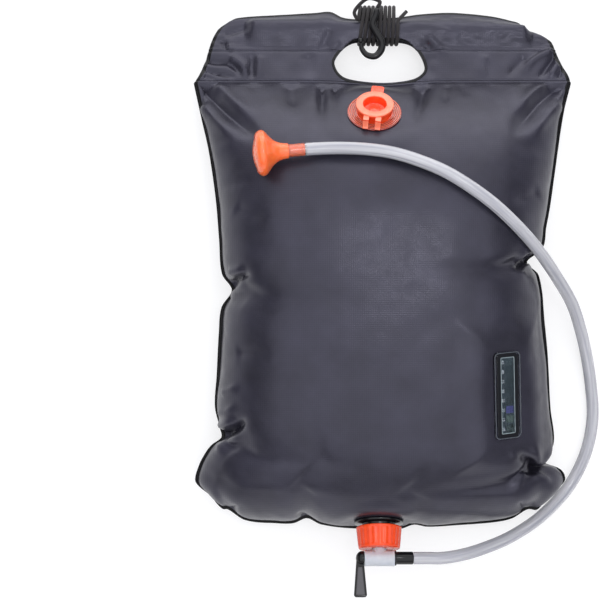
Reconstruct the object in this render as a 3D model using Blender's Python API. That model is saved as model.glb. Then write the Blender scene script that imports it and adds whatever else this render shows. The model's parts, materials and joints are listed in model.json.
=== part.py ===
# Camp shower bag: a filled bag of welded film that lies on its back, with a fill port, a thermometer,
# an outlet with a rotary tap, a hose with a shower head, a handle rod, and a wound cord with a hook.
# Metres, +Z up. The origin is on the ground under the middle of the bag, and +Y runs to the handle.

import math

import bmesh
import bpy
from mathutils import Matrix, Vector

# Clearances
gap = 0.0003  # between pieces that touch
overrun = 0.004  # how far a cutter runs past what it cuts
slack = 0.0004  # between the thread of the spout and the collar

# Film bag, lying filled
film = 0.001
weld_width = 0.008
film_width = 0.406
pouch_length = 0.482
front_rise = 0.088  # of the belly above the weld
back_drop = 0.066  # of the back below the weld, before the ground flattens it
seam_side_height = 0.050
seam_top_height = 0.038
seam_low_height = 0.030
header_height = 0.0823
header_slope = math.radians(19)

# Handle hole in the header
hole_width = 0.097
hole_height = 0.0465
hole_middle_x = -0.0028
hole_above_weld = 0.0035

# Stiffener rod and its sleeve
rod_radius = 0.006
rod_length = 0.286
rod_middle_x = 0.0078
rod_chamfer = 0.001
rod_above_weld = 0.0646
rod_tilt = math.radians(-1.24)
rod_rest = 0.0013  # below the middle of its sleeve
sleeve_room_across = 0.0025
sleeve_room_up = 0.002
sleeve_end_room = 0.003
sleeve_edge = 0.0015
corner_weld = 0.010  # wider weld at the header's corners

# Fill port
port_x = -0.0109
port_y = 0.2007
port_turn = math.radians(-9)
port_sides = 40
flange_radius = 0.0285
flange_thick = 0.0012
ridge_radius = 0.0225
ridge_width = 0.0012
ridge_high = 0.0008
neck_radius = 0.018
neck_bore = 0.015
neck_high = 0.0105
cap_radius = 0.020
cap_rim_thick = 0.0032
cap_chamfer = 0.0006
cap_wall = 0.0018
cap_taper = 0.0016
plug_depth = 0.0085
strap_width = 0.0059
strap_spacing = 0.0127
strap_thick = 0.003
strap_reach = 0.0045
tab_width = 0.0135
tab_length = 0.009
tab_thick = 0.0018
tab_corner = 0.002

# Thermometer
pocket_x = 0.123
pocket_y = -0.0913
pocket_turn = math.radians(2)
pocket_width = 0.0330
pocket_length = 0.0905
pocket_thick = 0.0016
pocket_corner = 0.006
card_width = 0.0197
card_length = 0.0788
card_thick = 0.0006

# Outlet spout
outlet_x = -0.0053
outlet_above_weld = 0.028
outlet_sides = 36
spout_flange_radius = 0.0262
spout_flange_thick = 0.0025
spout_radius = 0.0175
spout_bore = 0.013
spout_length = 0.020
washer_thick = 0.002
washer_bore = 0.006

# Collar
collar_start = 0.0075
collar_radius = 0.0243
collar_end_radius = 0.022
collar_wall = 0.0036
collar_chamfer = 0.0012
flute_count = 24
flute_depth = 0.0007

# Tap
tap_flange_radius = 0.0165
tap_flange_thick = 0.0025
tap_neck_radius = 0.0074
tap_neck_bore = 0.0042
tap_sides = 28
barrel_radius = 0.00875
barrel_length = 0.0317
barrel_out = 0.0098  # of the barrel's axis past the collar's end
plug_radius = 0.0062
plug_cross_bore = 0.0038
spigot_bore = 0.0024
head_ring_radius = 0.0078
head_ring_width = 0.0016
shoulder_radius = 0.0067
shoulder_length = 0.0178
barb_radius = 0.0036
barb_ridge = 0.0004
barb_length = 0.017
barb_pitch = 0.005
tang_size = 0.006
tang_length = 0.0068
lever_hub_radius = 0.0074
lever_hub_width = 0.0087
lever_length = 0.041
lever_root_width = 0.0075
lever_end_width = 0.0137
lever_thick = 0.0042
lever_rim = 0.0014
lever_recess = 0.0011
lever_corner = 0.0016

# Hose
hose_radius = 0.0065
hose_bore = 0.0047
hose_step = 0.026
# Route of the hose's middle from the tap to the head: out of the spigot, down to the ground, round the
# side of the bag, up over its edge and across the belly.
hose_route = (
    (0.0308, -0.2668, 0.0726),
    (0.0464, -0.2668, 0.0726),
    (0.0614, -0.2668, 0.0722),
    (0.0830, -0.2645, 0.0660),
    (0.1060, -0.2600, 0.0545),
    (0.1348, -0.2516, 0.0390),
    (0.1645, -0.2371, 0.0240),
    (0.1871, -0.2202, 0.0140),
    (0.2060, -0.2000, 0.0090),
    (0.2200, -0.1760, 0.0072),
    (0.2290, -0.1500, 0.0070),
    (0.2330, -0.1210, 0.0070),
    (0.2310, -0.0900, 0.0076),
    (0.2260, -0.0600, 0.0120),
    (0.2178, -0.0300, 0.0205),
    (0.2051, 0.0010, 0.0355),
    (0.1833, 0.0309, 0.0600),
    (0.1580, 0.0583, 0.0945),
    (0.1339, 0.0810, 0.1165),
    (0.1080, 0.1030, 0.1290),
    (0.0822, 0.1214, 0.1325),
    (0.0575, 0.1364, 0.1305),
    (0.0312, 0.1477, 0.1265),
    (0.0062, 0.1554, 0.1235),
    (-0.0199, 0.1593, 0.1215),
    (-0.0480, 0.1606, 0.1206),
    (-0.0760, 0.1597, 0.1213),
    (-0.1004, 0.1576, 0.1228),
)

# Shower head, from its face back to the tail in the hose
head_bulb_radius = 0.0235
head_bulb_depth = 0.0075
head_length = 0.0365
head_neck_radius = 0.0076
head_wall = 0.002
head_sides = 24
rose_radius = 0.0178
rose_thick = 0.0018
rose_crown = 0.0014
rose_hole_radius = 0.0008
rose_hole_sides = 5
rose_ring_spacing = 0.0045
rose_rings = 4

# Hanging cord and hook
cord_radius = 0.002
cord_turns = 9
cord_turn_spacing = 0.0048
cord_turn_points = 24
winding_right_x = 0.0176
winding_above_weld = 0.0679
winding_half_across = 0.0222
winding_half_up = 0.0118
winding_lean = 0.0025
hook_radius = 0.0040
hook_tip_radius = 0.0024
hook_ball_radius = 0.0032
hook_above_cord = 0.0014
hook_eye_x = -0.0053
hook_eye_above_weld = 0.0775
hook_dip = 0.20  # fall of the hook towards the hole, per length

# Outlines, chosen by hand. Sides: share of the length from the low edge to the top weld, and share of half
# the film's width. Ends: share of the width from left to right, and share of half the pouch's length.
left_side_shares = (
    (0.0, 0.953), (0.043, 0.994), (0.082, 0.973), (0.112, 0.938), (0.131, 0.905), (0.149, 0.853),
    (0.175, 0.862), (0.225, 0.886), (0.30, 0.876), (0.40, 0.864), (0.46, 0.850), (0.502, 0.795),
    (0.54, 0.847), (0.62, 0.862), (0.715, 0.880), (0.83, 0.917), (0.91, 0.957), (1.0, 1.0),
)
right_side_shares = (
    (0.0, 0.927), (0.032, 0.966), (0.052, 0.974), (0.072, 0.944), (0.0913, 0.842), (0.12, 0.898),
    (0.15, 0.910), (0.22, 0.888), (0.34, 0.871), (0.42, 0.854), (0.536, 0.822), (0.568, 0.759),
    (0.60, 0.841), (0.65, 0.862), (0.71, 0.886), (0.837, 0.927), (0.933, 0.963), (1.0, 1.0),
)
low_edge_shares = (
    (0.0, 0.890), (0.04, 0.919), (0.06, 0.919), (0.11, 0.967), (0.20, 0.981), (0.25, 0.981),
    (0.29, 0.958), (0.33, 0.986), (0.41, 1.003), (0.56, 1.006), (0.60, 0.987), (0.64, 0.997),
    (0.73, 0.989), (0.83, 0.977), (0.885, 0.959), (0.93, 0.918), (0.965, 0.922), (1.0, 0.888),
)
header_left_shares = ((0.0, 1.0), (0.15, 0.967), (0.36, 0.936), (0.66, 0.902), (0.83, 0.852), (1.0, 0.800))
header_right_shares = (
    (0.0, 1.0), (0.12, 0.988), (0.30, 0.957), (0.52, 0.927), (0.66, 0.895), (0.78, 0.855), (1.0, 0.810),
)
header_top_shares = (
    (0.0, 0.905), (0.05, 0.950), (0.14, 0.985), (0.28, 1.020), (0.33, 1.035), (0.37, 0.950),
    (0.42, 0.925), (0.55, 0.948), (0.64, 1.0), (0.745, 1.02), (0.87, 0.970), (0.985, 0.880), (1.0, 0.820),
)
hole_shares = (
    (-0.50, 0.38), (-0.385, 0.07), (-0.06, 0.0), (0.32, 0.02), (0.47, 0.16), (0.50, 0.40),
    (0.40, 0.80), (0.243, 0.99), (-0.115, 1.0), (-0.30, 0.96), (-0.45, 0.66),
)
header_flat_shares = (0.15, 0.30, 0.44)
row_shares = (
    0.0, 0.0004, 0.0018, 0.005, 0.011, 0.021, 0.037, 0.06, 0.095, 0.112, 0.135, 0.165, 0.20, 0.25,
    0.31, 0.38, 0.45, 0.515, 0.545, 0.577, 0.61, 0.67, 0.73, 0.79, 0.84, 0.88, 0.915, 0.95, 0.98, 1.0,
)
# Rows at the sides of the belly's low end, where the film rises least, in place of the first row_shares.
low_side_shares = (0.0, 0.008, 0.016, 0.024, 0.032, 0.041, 0.050)
front_columns = (
    0.0, 0.0075, 0.025, 0.055, 0.10, 0.16, 0.23, 0.31, 0.40, 0.50, 0.60, 0.69, 0.77, 0.84, 0.90, 0.94,
    0.968, 0.987, 1.0,
)
back_columns = (
    0.0, 0.0075, 0.025, 0.055, 0.10, 0.16, 0.30, 0.44, 0.56, 0.70, 0.84, 0.90, 0.94, 0.968, 0.987, 1.0,
)
crown_power = 3.0
crown_root = 2.0
low_end_power = 5.0
low_end_root = 2.0
top_end_power = 3.34
# The hook's bend in the header's plane: shares of hook_width across, and of hook_length down from its eye
hook_length = 0.0525
hook_width = 0.0230
hook_shares = (
    (0.02, 0.0), (-0.08, 0.15), (-0.22, 0.33), (-0.05, 0.50), (0.20, 0.70), (0.17, 0.87),
    (-0.10, 1.0), (-0.48, 0.98), (-0.72, 0.86), (-0.77, 0.74),
)
head_shares = (  # share of the length from face to neck, share of the way from neck to bulb radius
    (0.0, 0.72), (0.03, 0.86), (0.09, 0.96), (0.205, 1.0), (0.32, 0.93), (0.41, 0.70), (0.52, 0.38),
    (0.66, 0.16), (0.82, 0.04), (1.0, 0.0),
)


def clear_scene():
    for thing in list(bpy.data.objects):
        bpy.data.objects.remove(thing, do_unlink=True)


def material(name, colour, roughness, alpha=1.0):
    made = bpy.data.materials.new(name)
    made.use_nodes = True
    shader = made.node_tree.nodes["Principled BSDF"]
    shader.inputs["Base Color"].default_value = (*colour, 1.0)
    shader.inputs["Roughness"].default_value = roughness
    shader.inputs["Metallic"].default_value = 0.0
    shader.inputs["Alpha"].default_value = alpha
    made.diffuse_color = (*colour, alpha)
    return made


def add_object(name, shape, finish, parent=None, at=(0, 0, 0)):
    """A shape (bmesh) as an object, smooth where its faces meet gently."""
    mesh = bpy.data.meshes.new(name)
    shape.to_mesh(mesh)
    shape.free()
    mesh.shade_smooth()
    mesh.set_sharp_from_angle(angle=math.radians(35))
    made = bpy.data.objects.new(name, mesh)
    bpy.context.scene.collection.objects.link(made)
    made.parent = parent
    made.location = at
    if finish:
        mesh.materials.append(finish)
    return made


def add_cutter(name, shape, parent=None, at=(0, 0, 0)):
    made = add_object(name, shape, None, parent, at)
    made.hide_render = True
    made.display_type = "WIRE"
    return made


def add_frame(name, matrix):
    frame = bpy.data.objects.new(name, None)
    bpy.context.scene.collection.objects.link(frame)
    frame.matrix_world = matrix
    return frame


def combine(target, other, operation):
    step = target.modifiers.new(other.name, "BOOLEAN")
    step.operation = operation
    step.object = other
    step.solver = "EXACT"


def turned(profile, sides, along="Z"):
    """A closed solid turned about an axis, from (radius, place along the axis) pairs up its outer side."""
    shape = bmesh.new()
    points = [shape.verts.new((radius, 0, place)) for radius, place in profile]
    pairs = list(zip(points, points[1:]))
    if profile[0][0] > 0 or profile[-1][0] > 0:
        pairs.append((points[-1], points[0]))
    lines = [shape.edges.new(pair) for pair in pairs]
    bmesh.ops.spin(
        shape, geom=points + lines, cent=(0, 0, 0), axis=(0, 0, 1), angle=math.tau, steps=sides,
        use_merge=True,
    )
    bmesh.ops.remove_doubles(shape, verts=shape.verts, dist=gap / 100)
    bmesh.ops.recalc_face_normals(shape, faces=shape.faces)
    if shape.calc_volume(signed=True) < 0:
        bmesh.ops.reverse_faces(shape, faces=shape.faces)
    if along == "X":
        bmesh.ops.rotate(shape, verts=shape.verts, matrix=Matrix.Rotation(math.pi / 2, 3, "Y"))
    return shape


def drum(radius, low, high, sides, along="Z"):
    return turned([(0, low), (radius, low), (radius, high), (0, high)], sides, along)


def prism(outline, low, high):
    """A closed outline of (x, y) pairs, extruded from low to high."""
    shape = bmesh.new()
    face = shape.faces.new([shape.verts.new((x, y, low)) for x, y in outline])
    grown = bmesh.ops.extrude_face_region(shape, geom=[face])
    top = [part for part in grown["geom"] if isinstance(part, bmesh.types.BMVert)]
    bmesh.ops.translate(shape, verts=top, vec=(0, 0, high - low))
    bmesh.ops.recalc_face_normals(shape, faces=shape.faces)
    return shape


def block(width, length, low, high, centre=(0, 0)):
    x, y = centre
    corners = [(x + i * width / 2, y + j * length / 2) for i, j in ((-1, -1), (1, -1), (1, 1), (-1, 1))]
    return prism(corners, low, high)


def rounded(width, length, corner, steps=4, centre=(0, 0)):
    """Outline of a rectangle with round corners."""
    points = []
    for quarter, (i, j) in enumerate(((1, 1), (-1, 1), (-1, -1), (1, -1))):
        middle_x = centre[0] + i * (width / 2 - corner)
        middle_y = centre[1] + j * (length / 2 - corner)
        for step in range(steps + 1):
            angle = (quarter + step / steps) * math.pi / 2
            points.append((middle_x + corner * math.cos(angle), middle_y + corner * math.sin(angle)))
    return points


def smooth_curve(points, closed=False, steps=6):
    """Points along a smooth curve through the given ones."""
    count = len(points)
    vectors = [Vector(point) for point in points]

    def at(index):
        return vectors[index % count] if closed else vectors[min(max(index, 0), count - 1)]

    found = []
    for index in range(count if closed else count - 1):
        before, start, end, after = (at(index + offset) for offset in (-1, 0, 1, 2))
        for step in range(steps):
            share = step / steps
            found.append(
                start
                + 0.5 * share * (end - before)
                + share**2 * (before - 2.5 * start + 2 * end - 0.5 * after)
                + 0.5 * share**3 * (3 * start - 3 * end + after - before)
            )
    if not closed:
        found.append(vectors[-1])
    return found


def spaced(points, step):
    """Points about one step apart along a line of points, with both ends kept."""
    lengths = [0.0]
    for start, end in zip(points, points[1:]):
        lengths.append(lengths[-1] + (end - start).length)
    count = max(2, round(lengths[-1] / step))
    found, index = [], 0
    for mark in range(count + 1):
        wanted = lengths[-1] * mark / count
        while index < len(points) - 2 and lengths[index + 1] < wanted:
            index += 1
        part = (wanted - lengths[index]) / (lengths[index + 1] - lengths[index])
        found.append(points[index].lerp(points[index + 1], part))
    return found, lengths[-1]


def tube(name, points, radii, resolution, finish, parent=None):
    """A round tube through points, each with its own radius."""
    curve = bpy.data.curves.new(name, "CURVE")
    curve.dimensions = "3D"
    curve.bevel_depth = max(radii)
    curve.bevel_resolution = resolution
    curve.use_fill_caps = True
    line = curve.splines.new("POLY")
    line.points.add(len(points) - 1)
    for node, point, radius in zip(line.points, points, radii):
        node.co = (*point, 1.0)
        node.radius = radius / max(radii)
    made = bpy.data.objects.new(name, curve)
    bpy.context.scene.collection.objects.link(made)
    made.parent = parent
    if finish:
        curve.materials.append(finish)
    return made


def tube_shape(points, radius, resolution):
    """The mesh of a plain round tube."""
    guide = tube("guide", points, [radius] * len(points), resolution, None)
    shape = bmesh.new()
    mesh = guide.to_mesh()
    shape.from_mesh(mesh)
    guide.to_mesh_clear()
    bpy.data.objects.remove(guide, do_unlink=True)
    bmesh.ops.remove_doubles(shape, verts=shape.verts, dist=gap / 100)
    bmesh.ops.recalc_face_normals(shape, faces=shape.faces)
    return shape


def read(shares, share):
    """Value of a table at a share, on straight lines between its entries."""
    for (start, first), (end, last) in zip(shares, shares[1:]):
        if share <= end:
            return first + (last - first) * (share - start) / (end - start)
    return shares[-1][1]


# Form of the filled pouch: across and along are shares from weld to weld.


def top_weld_y():
    return pouch_length / 2


def side_edges(along):
    left = -film_width / 2 * read(left_side_shares, along)
    right = film_width / 2 * read(right_side_shares, along)
    return left, right


def low_edge(across):
    return -pouch_length / 2 * read(low_edge_shares, across)


def seam_height(along):
    drop_low = (seam_side_height - seam_low_height) * (1 - along) ** 4
    drop_top = (seam_side_height - seam_top_height) * along**4
    return seam_side_height - drop_low - drop_top


def crown(across):
    return max(0.0, 1 - abs(2 * across - 1) ** crown_power) ** (1 / crown_root)


def end_fullness(along):
    reach = abs(2 * along - 1)
    if along > 0.5:
        return 1 - reach**top_end_power
    return max(0.0, 1 - reach**low_end_power) ** (1 / low_end_root)


def pouch_xy(across, along):
    left, right = side_edges(along)
    left, right = left + weld_width, right - weld_width
    low = low_edge(across) + weld_width
    return left + (right - left) * across, low + (top_weld_y() - low) * along


def front_point(across, along):
    rise = front_rise * crown(across) * end_fullness(along)
    return Vector((*pouch_xy(across, along), seam_height(along) + gap / 2 + rise))


def back_point(across, along):
    drop = back_drop * crown(across) * end_fullness(along)
    return Vector((*pouch_xy(across, along), max(film, seam_height(along) - gap / 2 - drop)))


def across_at(x, along):
    left, right = side_edges(along)
    return (x - left - weld_width) / (right - left - 2 * weld_width)


def along_at(y, x):
    low = low_edge(across_at(x, 0.5)) + weld_width
    return (y - low) / (top_weld_y() - low)


def film_frame(across, along, turn=0.0, away=0.0):
    """A frame on the front film: Z out of it, X level to the right, Y up the film towards the header."""
    nudge = 0.001
    place = front_point(across, along)
    side = front_point(across + nudge, along) - place
    ahead = front_point(across, along + nudge) - place
    out = side.cross(ahead).normalized()
    right = Vector((1, 0, 0))
    right = (right - right.dot(out) * out).normalized()
    axes = Matrix((right, out.cross(right), out)).transposed()
    frame = (axes @ Matrix.Rotation(turn, 3, "Z")).to_4x4()
    frame.translation = place + out * away
    return frame


def port_matrix(away=0.0):
    along = along_at(port_y, port_x)
    return film_frame(across_at(port_x, along), along, port_turn, away)


def pocket_matrix(away=0.0):
    along = along_at(pocket_y, pocket_x)
    return film_frame(across_at(pocket_x, along), along, pocket_turn, away)


def outlet_matrix(away=0.0):
    """Frame of the outlet: Z out along its axis, X to the right, Y up."""
    across = across_at(outlet_x, 0.0)
    fullness = outlet_above_weld / (front_rise * crown(across))
    reach = (1 - fullness**low_end_root) ** (1 / low_end_power)
    film_out = film_frame(across, (1 - reach) / 2).col[2].to_3d()
    out = Vector((0, film_out.y, film_out.z)).normalized()
    right = Vector((1, 0, 0))
    frame = Matrix((right, out.cross(right), out)).transposed().to_4x4()
    frame.translation = front_point(across, (1 - reach) / 2) + out * away
    return frame


def header_matrix():
    """Frame of the header: X to the right, Y up the header from the top weld, Z out of its front."""
    frame = Matrix.Rotation(-header_slope, 4, "X")
    frame.translation = (0, top_weld_y(), seam_top_height)
    return frame


def press_flat(point, frame, half_width, half_length, fade):
    """Moves a point of the film towards a flat patch round a fitting."""
    local = frame.inverted() @ point
    beyond = max(abs(local.x) - half_width, abs(local.y) - half_length, 0.0)
    if half_width == half_length:
        beyond = max(math.hypot(local.x, local.y) - half_width, 0.0)
    share = max(0.0, 1 - beyond / fade)
    if share > 0 and abs(local.z) < fade:
        local.z *= 1 - share**2 * (3 - 2 * share)
        return frame @ local
    return point


def fitted_to_pieces(point):
    """The front film lies flat under the port, the outlet and the thermometer."""
    room = 2 * spout_flange_thick
    point = press_flat(point, port_matrix(), flange_radius + room, flange_radius + room, flange_radius)
    spout_reach = spout_flange_radius
    point = press_flat(point, outlet_matrix(), spout_reach, spout_reach, spout_reach)
    half_width, half_length = pocket_width / 2 + room, pocket_length / 2 + room
    return press_flat(point, pocket_matrix(), half_width, half_length, pocket_width)


def in_rod_span(x):
    return abs(x - rod_middle_x) < rod_length / 2 + sleeve_end_room


def rod_up(x):
    return rod_above_weld + (x - rod_middle_x) * math.tan(rod_tilt)


def header_stations():
    """Rows of the header: (place above the weld at the rod's middle, height of the sleeve there)."""
    sleeve_across = rod_radius + sleeve_room_across
    sleeve_up = rod_radius + sleeve_room_up
    rows = [(header_height * share, 0.0) for share in header_flat_shares]
    for step in range(5):
        angle = math.pi * (1 - step / 4)
        rows.append((rod_above_weld + sleeve_across * math.cos(angle), sleeve_up * math.sin(angle)))
    return rows


def header_sides(share):
    return (
        -film_width / 2 * read(header_left_shares, share),
        film_width / 2 * read(header_right_shares, share),
    )


def header_point(column, edge_step, station, side):
    """A point of the header film. edge_step is -1 or 1 at the outer edges, and 0 between the welds."""
    place, bulge = station
    top = header_height * read(header_top_shares, column)
    flat = header_height * header_flat_shares[-1]
    on_top = place >= header_height
    share = place / header_height
    in_sleeve = flat < place and not on_top
    left, right = header_sides(share if place <= flat else 1.0)
    weld = weld_width + (corner_weld * place / flat if place <= flat else 0.0)
    x = left + weld + (right - left - 2 * weld) * column
    if edge_step:
        x = header_sides(share)[0 if edge_step < 0 else 1]
    up = place
    if on_top:
        up = top
    elif in_sleeve and in_rod_span(x):
        up = place + rod_up(x) - rod_above_weld
    elif in_sleeve:
        up = flat + (place - flat) * (top - sleeve_edge - flat) / (header_height - flat)
    lift = bulge if in_rod_span(x) else 0.0
    return header_matrix() @ Vector((x, up, side * (lift + gap / 2)))


def row_along(row, column):
    """Share of the length at a row. The low end's rows spread out towards the sides."""
    along = row_shares[row]
    if row < len(low_side_shares):
        along += (low_side_shares[row] - along) * (1 - crown(column)) ** 2
    return along


def panel_grid(columns, side):
    """Inner surface of one film panel, row by row from the low edge to the header's top edge."""
    film_point = front_point if side > 0 else back_point
    steps = [(0.0, -1)] + [(share, 0) for share in columns] + [(1.0, 1)]
    rows = []
    for number in (0, *range(len(row_shares))):
        row = []
        for share, edge_step in steps:
            along = row_along(number, share)
            point = film_point(share, along)
            if edge_step:
                point.x += edge_step * weld_width
                point.z = seam_height(along) + side * gap / 2
            if not rows:
                point.y -= weld_width
            if side > 0 and not edge_step and 0 < along < 1:
                point = fitted_to_pieces(point)
            row.append(point)
        rows.append(row)
    for station in header_stations() + [(header_height, 0.0)]:
        rows.append([header_point(share, edge_step, station, side) for share, edge_step in steps])
    return rows


def panel(name, columns, side, finish):
    """One film panel: its inner surface, thickened outwards."""
    shape = bmesh.new()
    rows = [[shape.verts.new(point) for point in row] for row in panel_grid(columns, side)]
    for low, high in zip(rows, rows[1:]):
        for i in range(len(low) - 1):
            corners = (low[i], low[i + 1], high[i + 1], high[i])
            shape.faces.new(corners if side > 0 else corners[::-1])
    made = add_object(name, shape, finish)
    wall = made.modifiers.new("wall", "SOLIDIFY")
    wall.thickness = film
    wall.offset = 1.0
    return made


def hole_outline():
    points = [
        (hole_middle_x + hole_width * x, hole_above_weld + hole_height * y, 0) for x, y in hole_shares
    ]
    return [(point.x, point.y) for point in smooth_curve(points, closed=True, steps=3)]


def make_film(header, port, outlet):
    black = material("black_film", (0.045, 0.045, 0.058), 0.4)
    front = panel("front_panel", front_columns, 1, black)
    back = panel("back_panel", back_columns, -1, black)
    deep = 2 * (seam_top_height + front_rise)
    hole = add_cutter("hole_cutter", prism(hole_outline(), -deep, deep), header)
    combine(front, hole, "DIFFERENCE")
    combine(back, hole, "DIFFERENCE")
    reach = film + overrun
    filler = add_cutter("fill_cutter", drum(neck_bore, -2 * reach, reach, port_sides), port)
    combine(front, filler, "DIFFERENCE")
    drain = add_cutter("drain_cutter", drum(spout_bore, -2 * reach, reach, outlet_sides), outlet)
    combine(front, drain, "DIFFERENCE")


def make_rod(header):
    white = material("rod_plastic", (0.72, 0.72, 0.70), 0.5)
    half = rod_length / 2
    inner = rod_radius - rod_chamfer
    low_end = [(0, -half), (inner, -half), (rod_radius, rod_chamfer - half)]
    high_end = [(rod_radius, half - rod_chamfer), (inner, half), (0, half)]
    shape = turned(low_end + high_end, 12, "X")
    bmesh.ops.rotate(shape, verts=shape.verts, matrix=Matrix.Rotation(rod_tilt, 3, "Z"))
    add_object("handle_rod", shape, white, header, (rod_middle_x, rod_above_weld, -rod_rest))


# Fill port


def strap_places():
    return (-strap_spacing / 2, strap_spacing / 2)


def hinge_y():
    return -neck_radius - strap_reach - strap_thick


def make_fill_flange(port):
    orange = material("port_vinyl", (0.95, 0.13, 0.03), 0.3)
    base = film + gap
    deck = base + flange_thick
    ridge_top = deck + ridge_high
    rim = flange_radius - ridge_width
    profile = [
        (neck_bore, base), (flange_radius, base), (flange_radius, ridge_top), (rim, ridge_top), (rim, deck),
        (ridge_radius, deck), (ridge_radius, ridge_top), (ridge_radius - ridge_width, ridge_top),
        (ridge_radius - ridge_width, deck), (neck_radius, deck), (neck_radius, neck_high),
        (neck_bore, neck_high),
    ]
    flange = add_object("fill_flange", turned(profile, port_sides), orange, port)
    foot = deck - flange_thick / 2
    for number, x in enumerate(strap_places()):
        middle = hinge_y() + strap_thick / 2
        upright = block(strap_width, strap_thick, foot, neck_high, (x, middle))
        combine(flange, add_cutter(f"upright_{number}", upright, port), "UNION")


def make_fill_cap(port):
    """Plug cap. Its origin is on the hinge line, at the outer edge of the straps' upper ends."""
    orange = material("cap_vinyl", (1.0, 0.16, 0.04), 0.28)
    hinge = Vector((0, hinge_y(), neck_high + gap / 2))
    low = neck_high + gap - hinge.z
    top = low + cap_rim_thick
    plug = neck_bore - gap - cap_taper / 2
    cup = plug - cap_wall
    foot = low - plug_depth
    profile = [
        (0, foot), (plug - cap_taper - cap_chamfer, foot), (plug - cap_taper, foot + cap_chamfer),
        (plug, low), (cap_radius - cap_chamfer, low), (cap_radius, low + cap_chamfer),
        (cap_radius, top - cap_chamfer), (cap_radius - cap_chamfer, top), (cup, top),
        (cup - cap_taper, foot + cap_wall), (0, foot + cap_wall),
    ]
    shape = turned(profile, port_sides)
    bmesh.ops.translate(shape, verts=shape.verts, vec=(0, -hinge.y, 0))
    cap = add_object("fill_cap", shape, orange, port, hinge)
    inner = -hinge.y - cap_radius + cap_wall
    for number, x in enumerate(strap_places()):
        strap = block(strap_width, inner, low, low + tab_thick, (x, inner / 2))
        combine(cap, add_cutter(f"strap_{number}", strap, port, hinge), "UNION")
    reach = tab_length + cap_wall
    middle = -hinge.y + cap_radius - cap_wall + reach / 2
    outline = rounded(tab_width, reach, tab_corner, centre=(0, middle))
    tab_low = low + (cap_rim_thick - tab_thick) / 2
    combine(cap, add_cutter("pull_tab", prism(outline, tab_low, tab_low + tab_thick), port, hinge), "UNION")


def make_thermometer(pocket):
    clear = material("clear_pocket", (0.30, 0.33, 0.36), 0.15, 0.5)
    dark = material("crystal_card", (0.03, 0.05, 0.06), 0.4)
    base = film + gap
    outline = rounded(pocket_width, pocket_length, pocket_corner)
    cover = add_object("thermometer_pocket", prism(outline, base, base + pocket_thick), clear, pocket)
    room = gap
    recess_top = base + card_thick + 2 * gap
    recess = block(card_width + 2 * room, card_length + 2 * room, base - overrun, recess_top)
    combine(cover, add_cutter("card_recess", recess, pocket), "DIFFERENCE")
    card = block(card_width, card_length, base + gap / 2, base + gap / 2 + card_thick)
    add_object("thermometer_card", card, dark, pocket)


# Outlet


def washer_start():
    return film + gap + spout_length + gap


def tap_flange_start():
    return washer_start() + washer_thick + gap


def collar_floor():
    return tap_flange_start() + tap_flange_thick + gap


def collar_end():
    return collar_floor() + collar_wall


def barrel_axis():
    return collar_end() + barrel_out


def make_outlet_spout(outlet):
    black = material("spout_plastic", (0.02, 0.02, 0.024), 0.25)
    base = film + gap
    deck = base + spout_flange_thick
    end = base + spout_length
    profile = [
        (spout_bore, base), (spout_flange_radius, base), (spout_flange_radius, deck), (spout_radius, deck),
        (spout_radius, end), (spout_bore, end),
    ]
    add_object("outlet_spout", turned(profile, outlet_sides), black, outlet)


def make_washer(outlet):
    rubber = material("washer_rubber", (0.03, 0.03, 0.03), 0.8)
    low, high = washer_start(), washer_start() + washer_thick
    profile = [(washer_bore, low), (tap_flange_radius, low), (tap_flange_radius, high), (washer_bore, high)]
    add_object("sealing_washer", turned(profile, outlet_sides), rubber, outlet)


def fluted(rings):
    """A closed drum with flutes. Each ring is (radius, height, share of the flutes' depth)."""
    shape = bmesh.new()
    loops = []
    points = 3 * flute_count
    for radius, height, share in rings:
        loop = []
        for number in range(points):
            angle = math.tau * number / points
            reach = radius - (flute_depth * share if number % 3 == 0 else 0.0)
            loop.append(shape.verts.new((reach * math.cos(angle), reach * math.sin(angle), height)))
        loops.append(loop)
    for low, high in zip(loops, loops[1:]):
        for number in range(points):
            after = (number + 1) % points
            shape.faces.new((low[number], low[after], high[after], high[number]))
    shape.faces.new(loops[0][::-1])
    shape.faces.new(loops[-1])
    return shape


def make_collar(outlet):
    orange = material("collar_plastic", (0.93, 0.10, 0.02), 0.35)
    start, end = collar_start, collar_end()
    rings = [
        (collar_radius - collar_chamfer, start, 0.0), (collar_radius, start + collar_chamfer, 0.0),
        (collar_radius, start + 2 * collar_chamfer, 1.0), (collar_end_radius, end - 2 * collar_chamfer, 1.0),
        (collar_end_radius, end - collar_chamfer, 0.0), (collar_end_radius - collar_chamfer, end, 0.0),
    ]
    collar = add_object("outlet_collar", fluted(rings), orange, outlet)
    inside = drum(spout_radius + slack, start - overrun, collar_floor(), outlet_sides)
    combine(collar, add_cutter("collar_bore", inside, outlet), "DIFFERENCE")
    mouth = drum(tap_neck_radius + slack, start, end + overrun, tap_sides)
    combine(collar, add_cutter("collar_mouth", mouth, outlet), "DIFFERENCE")


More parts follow.
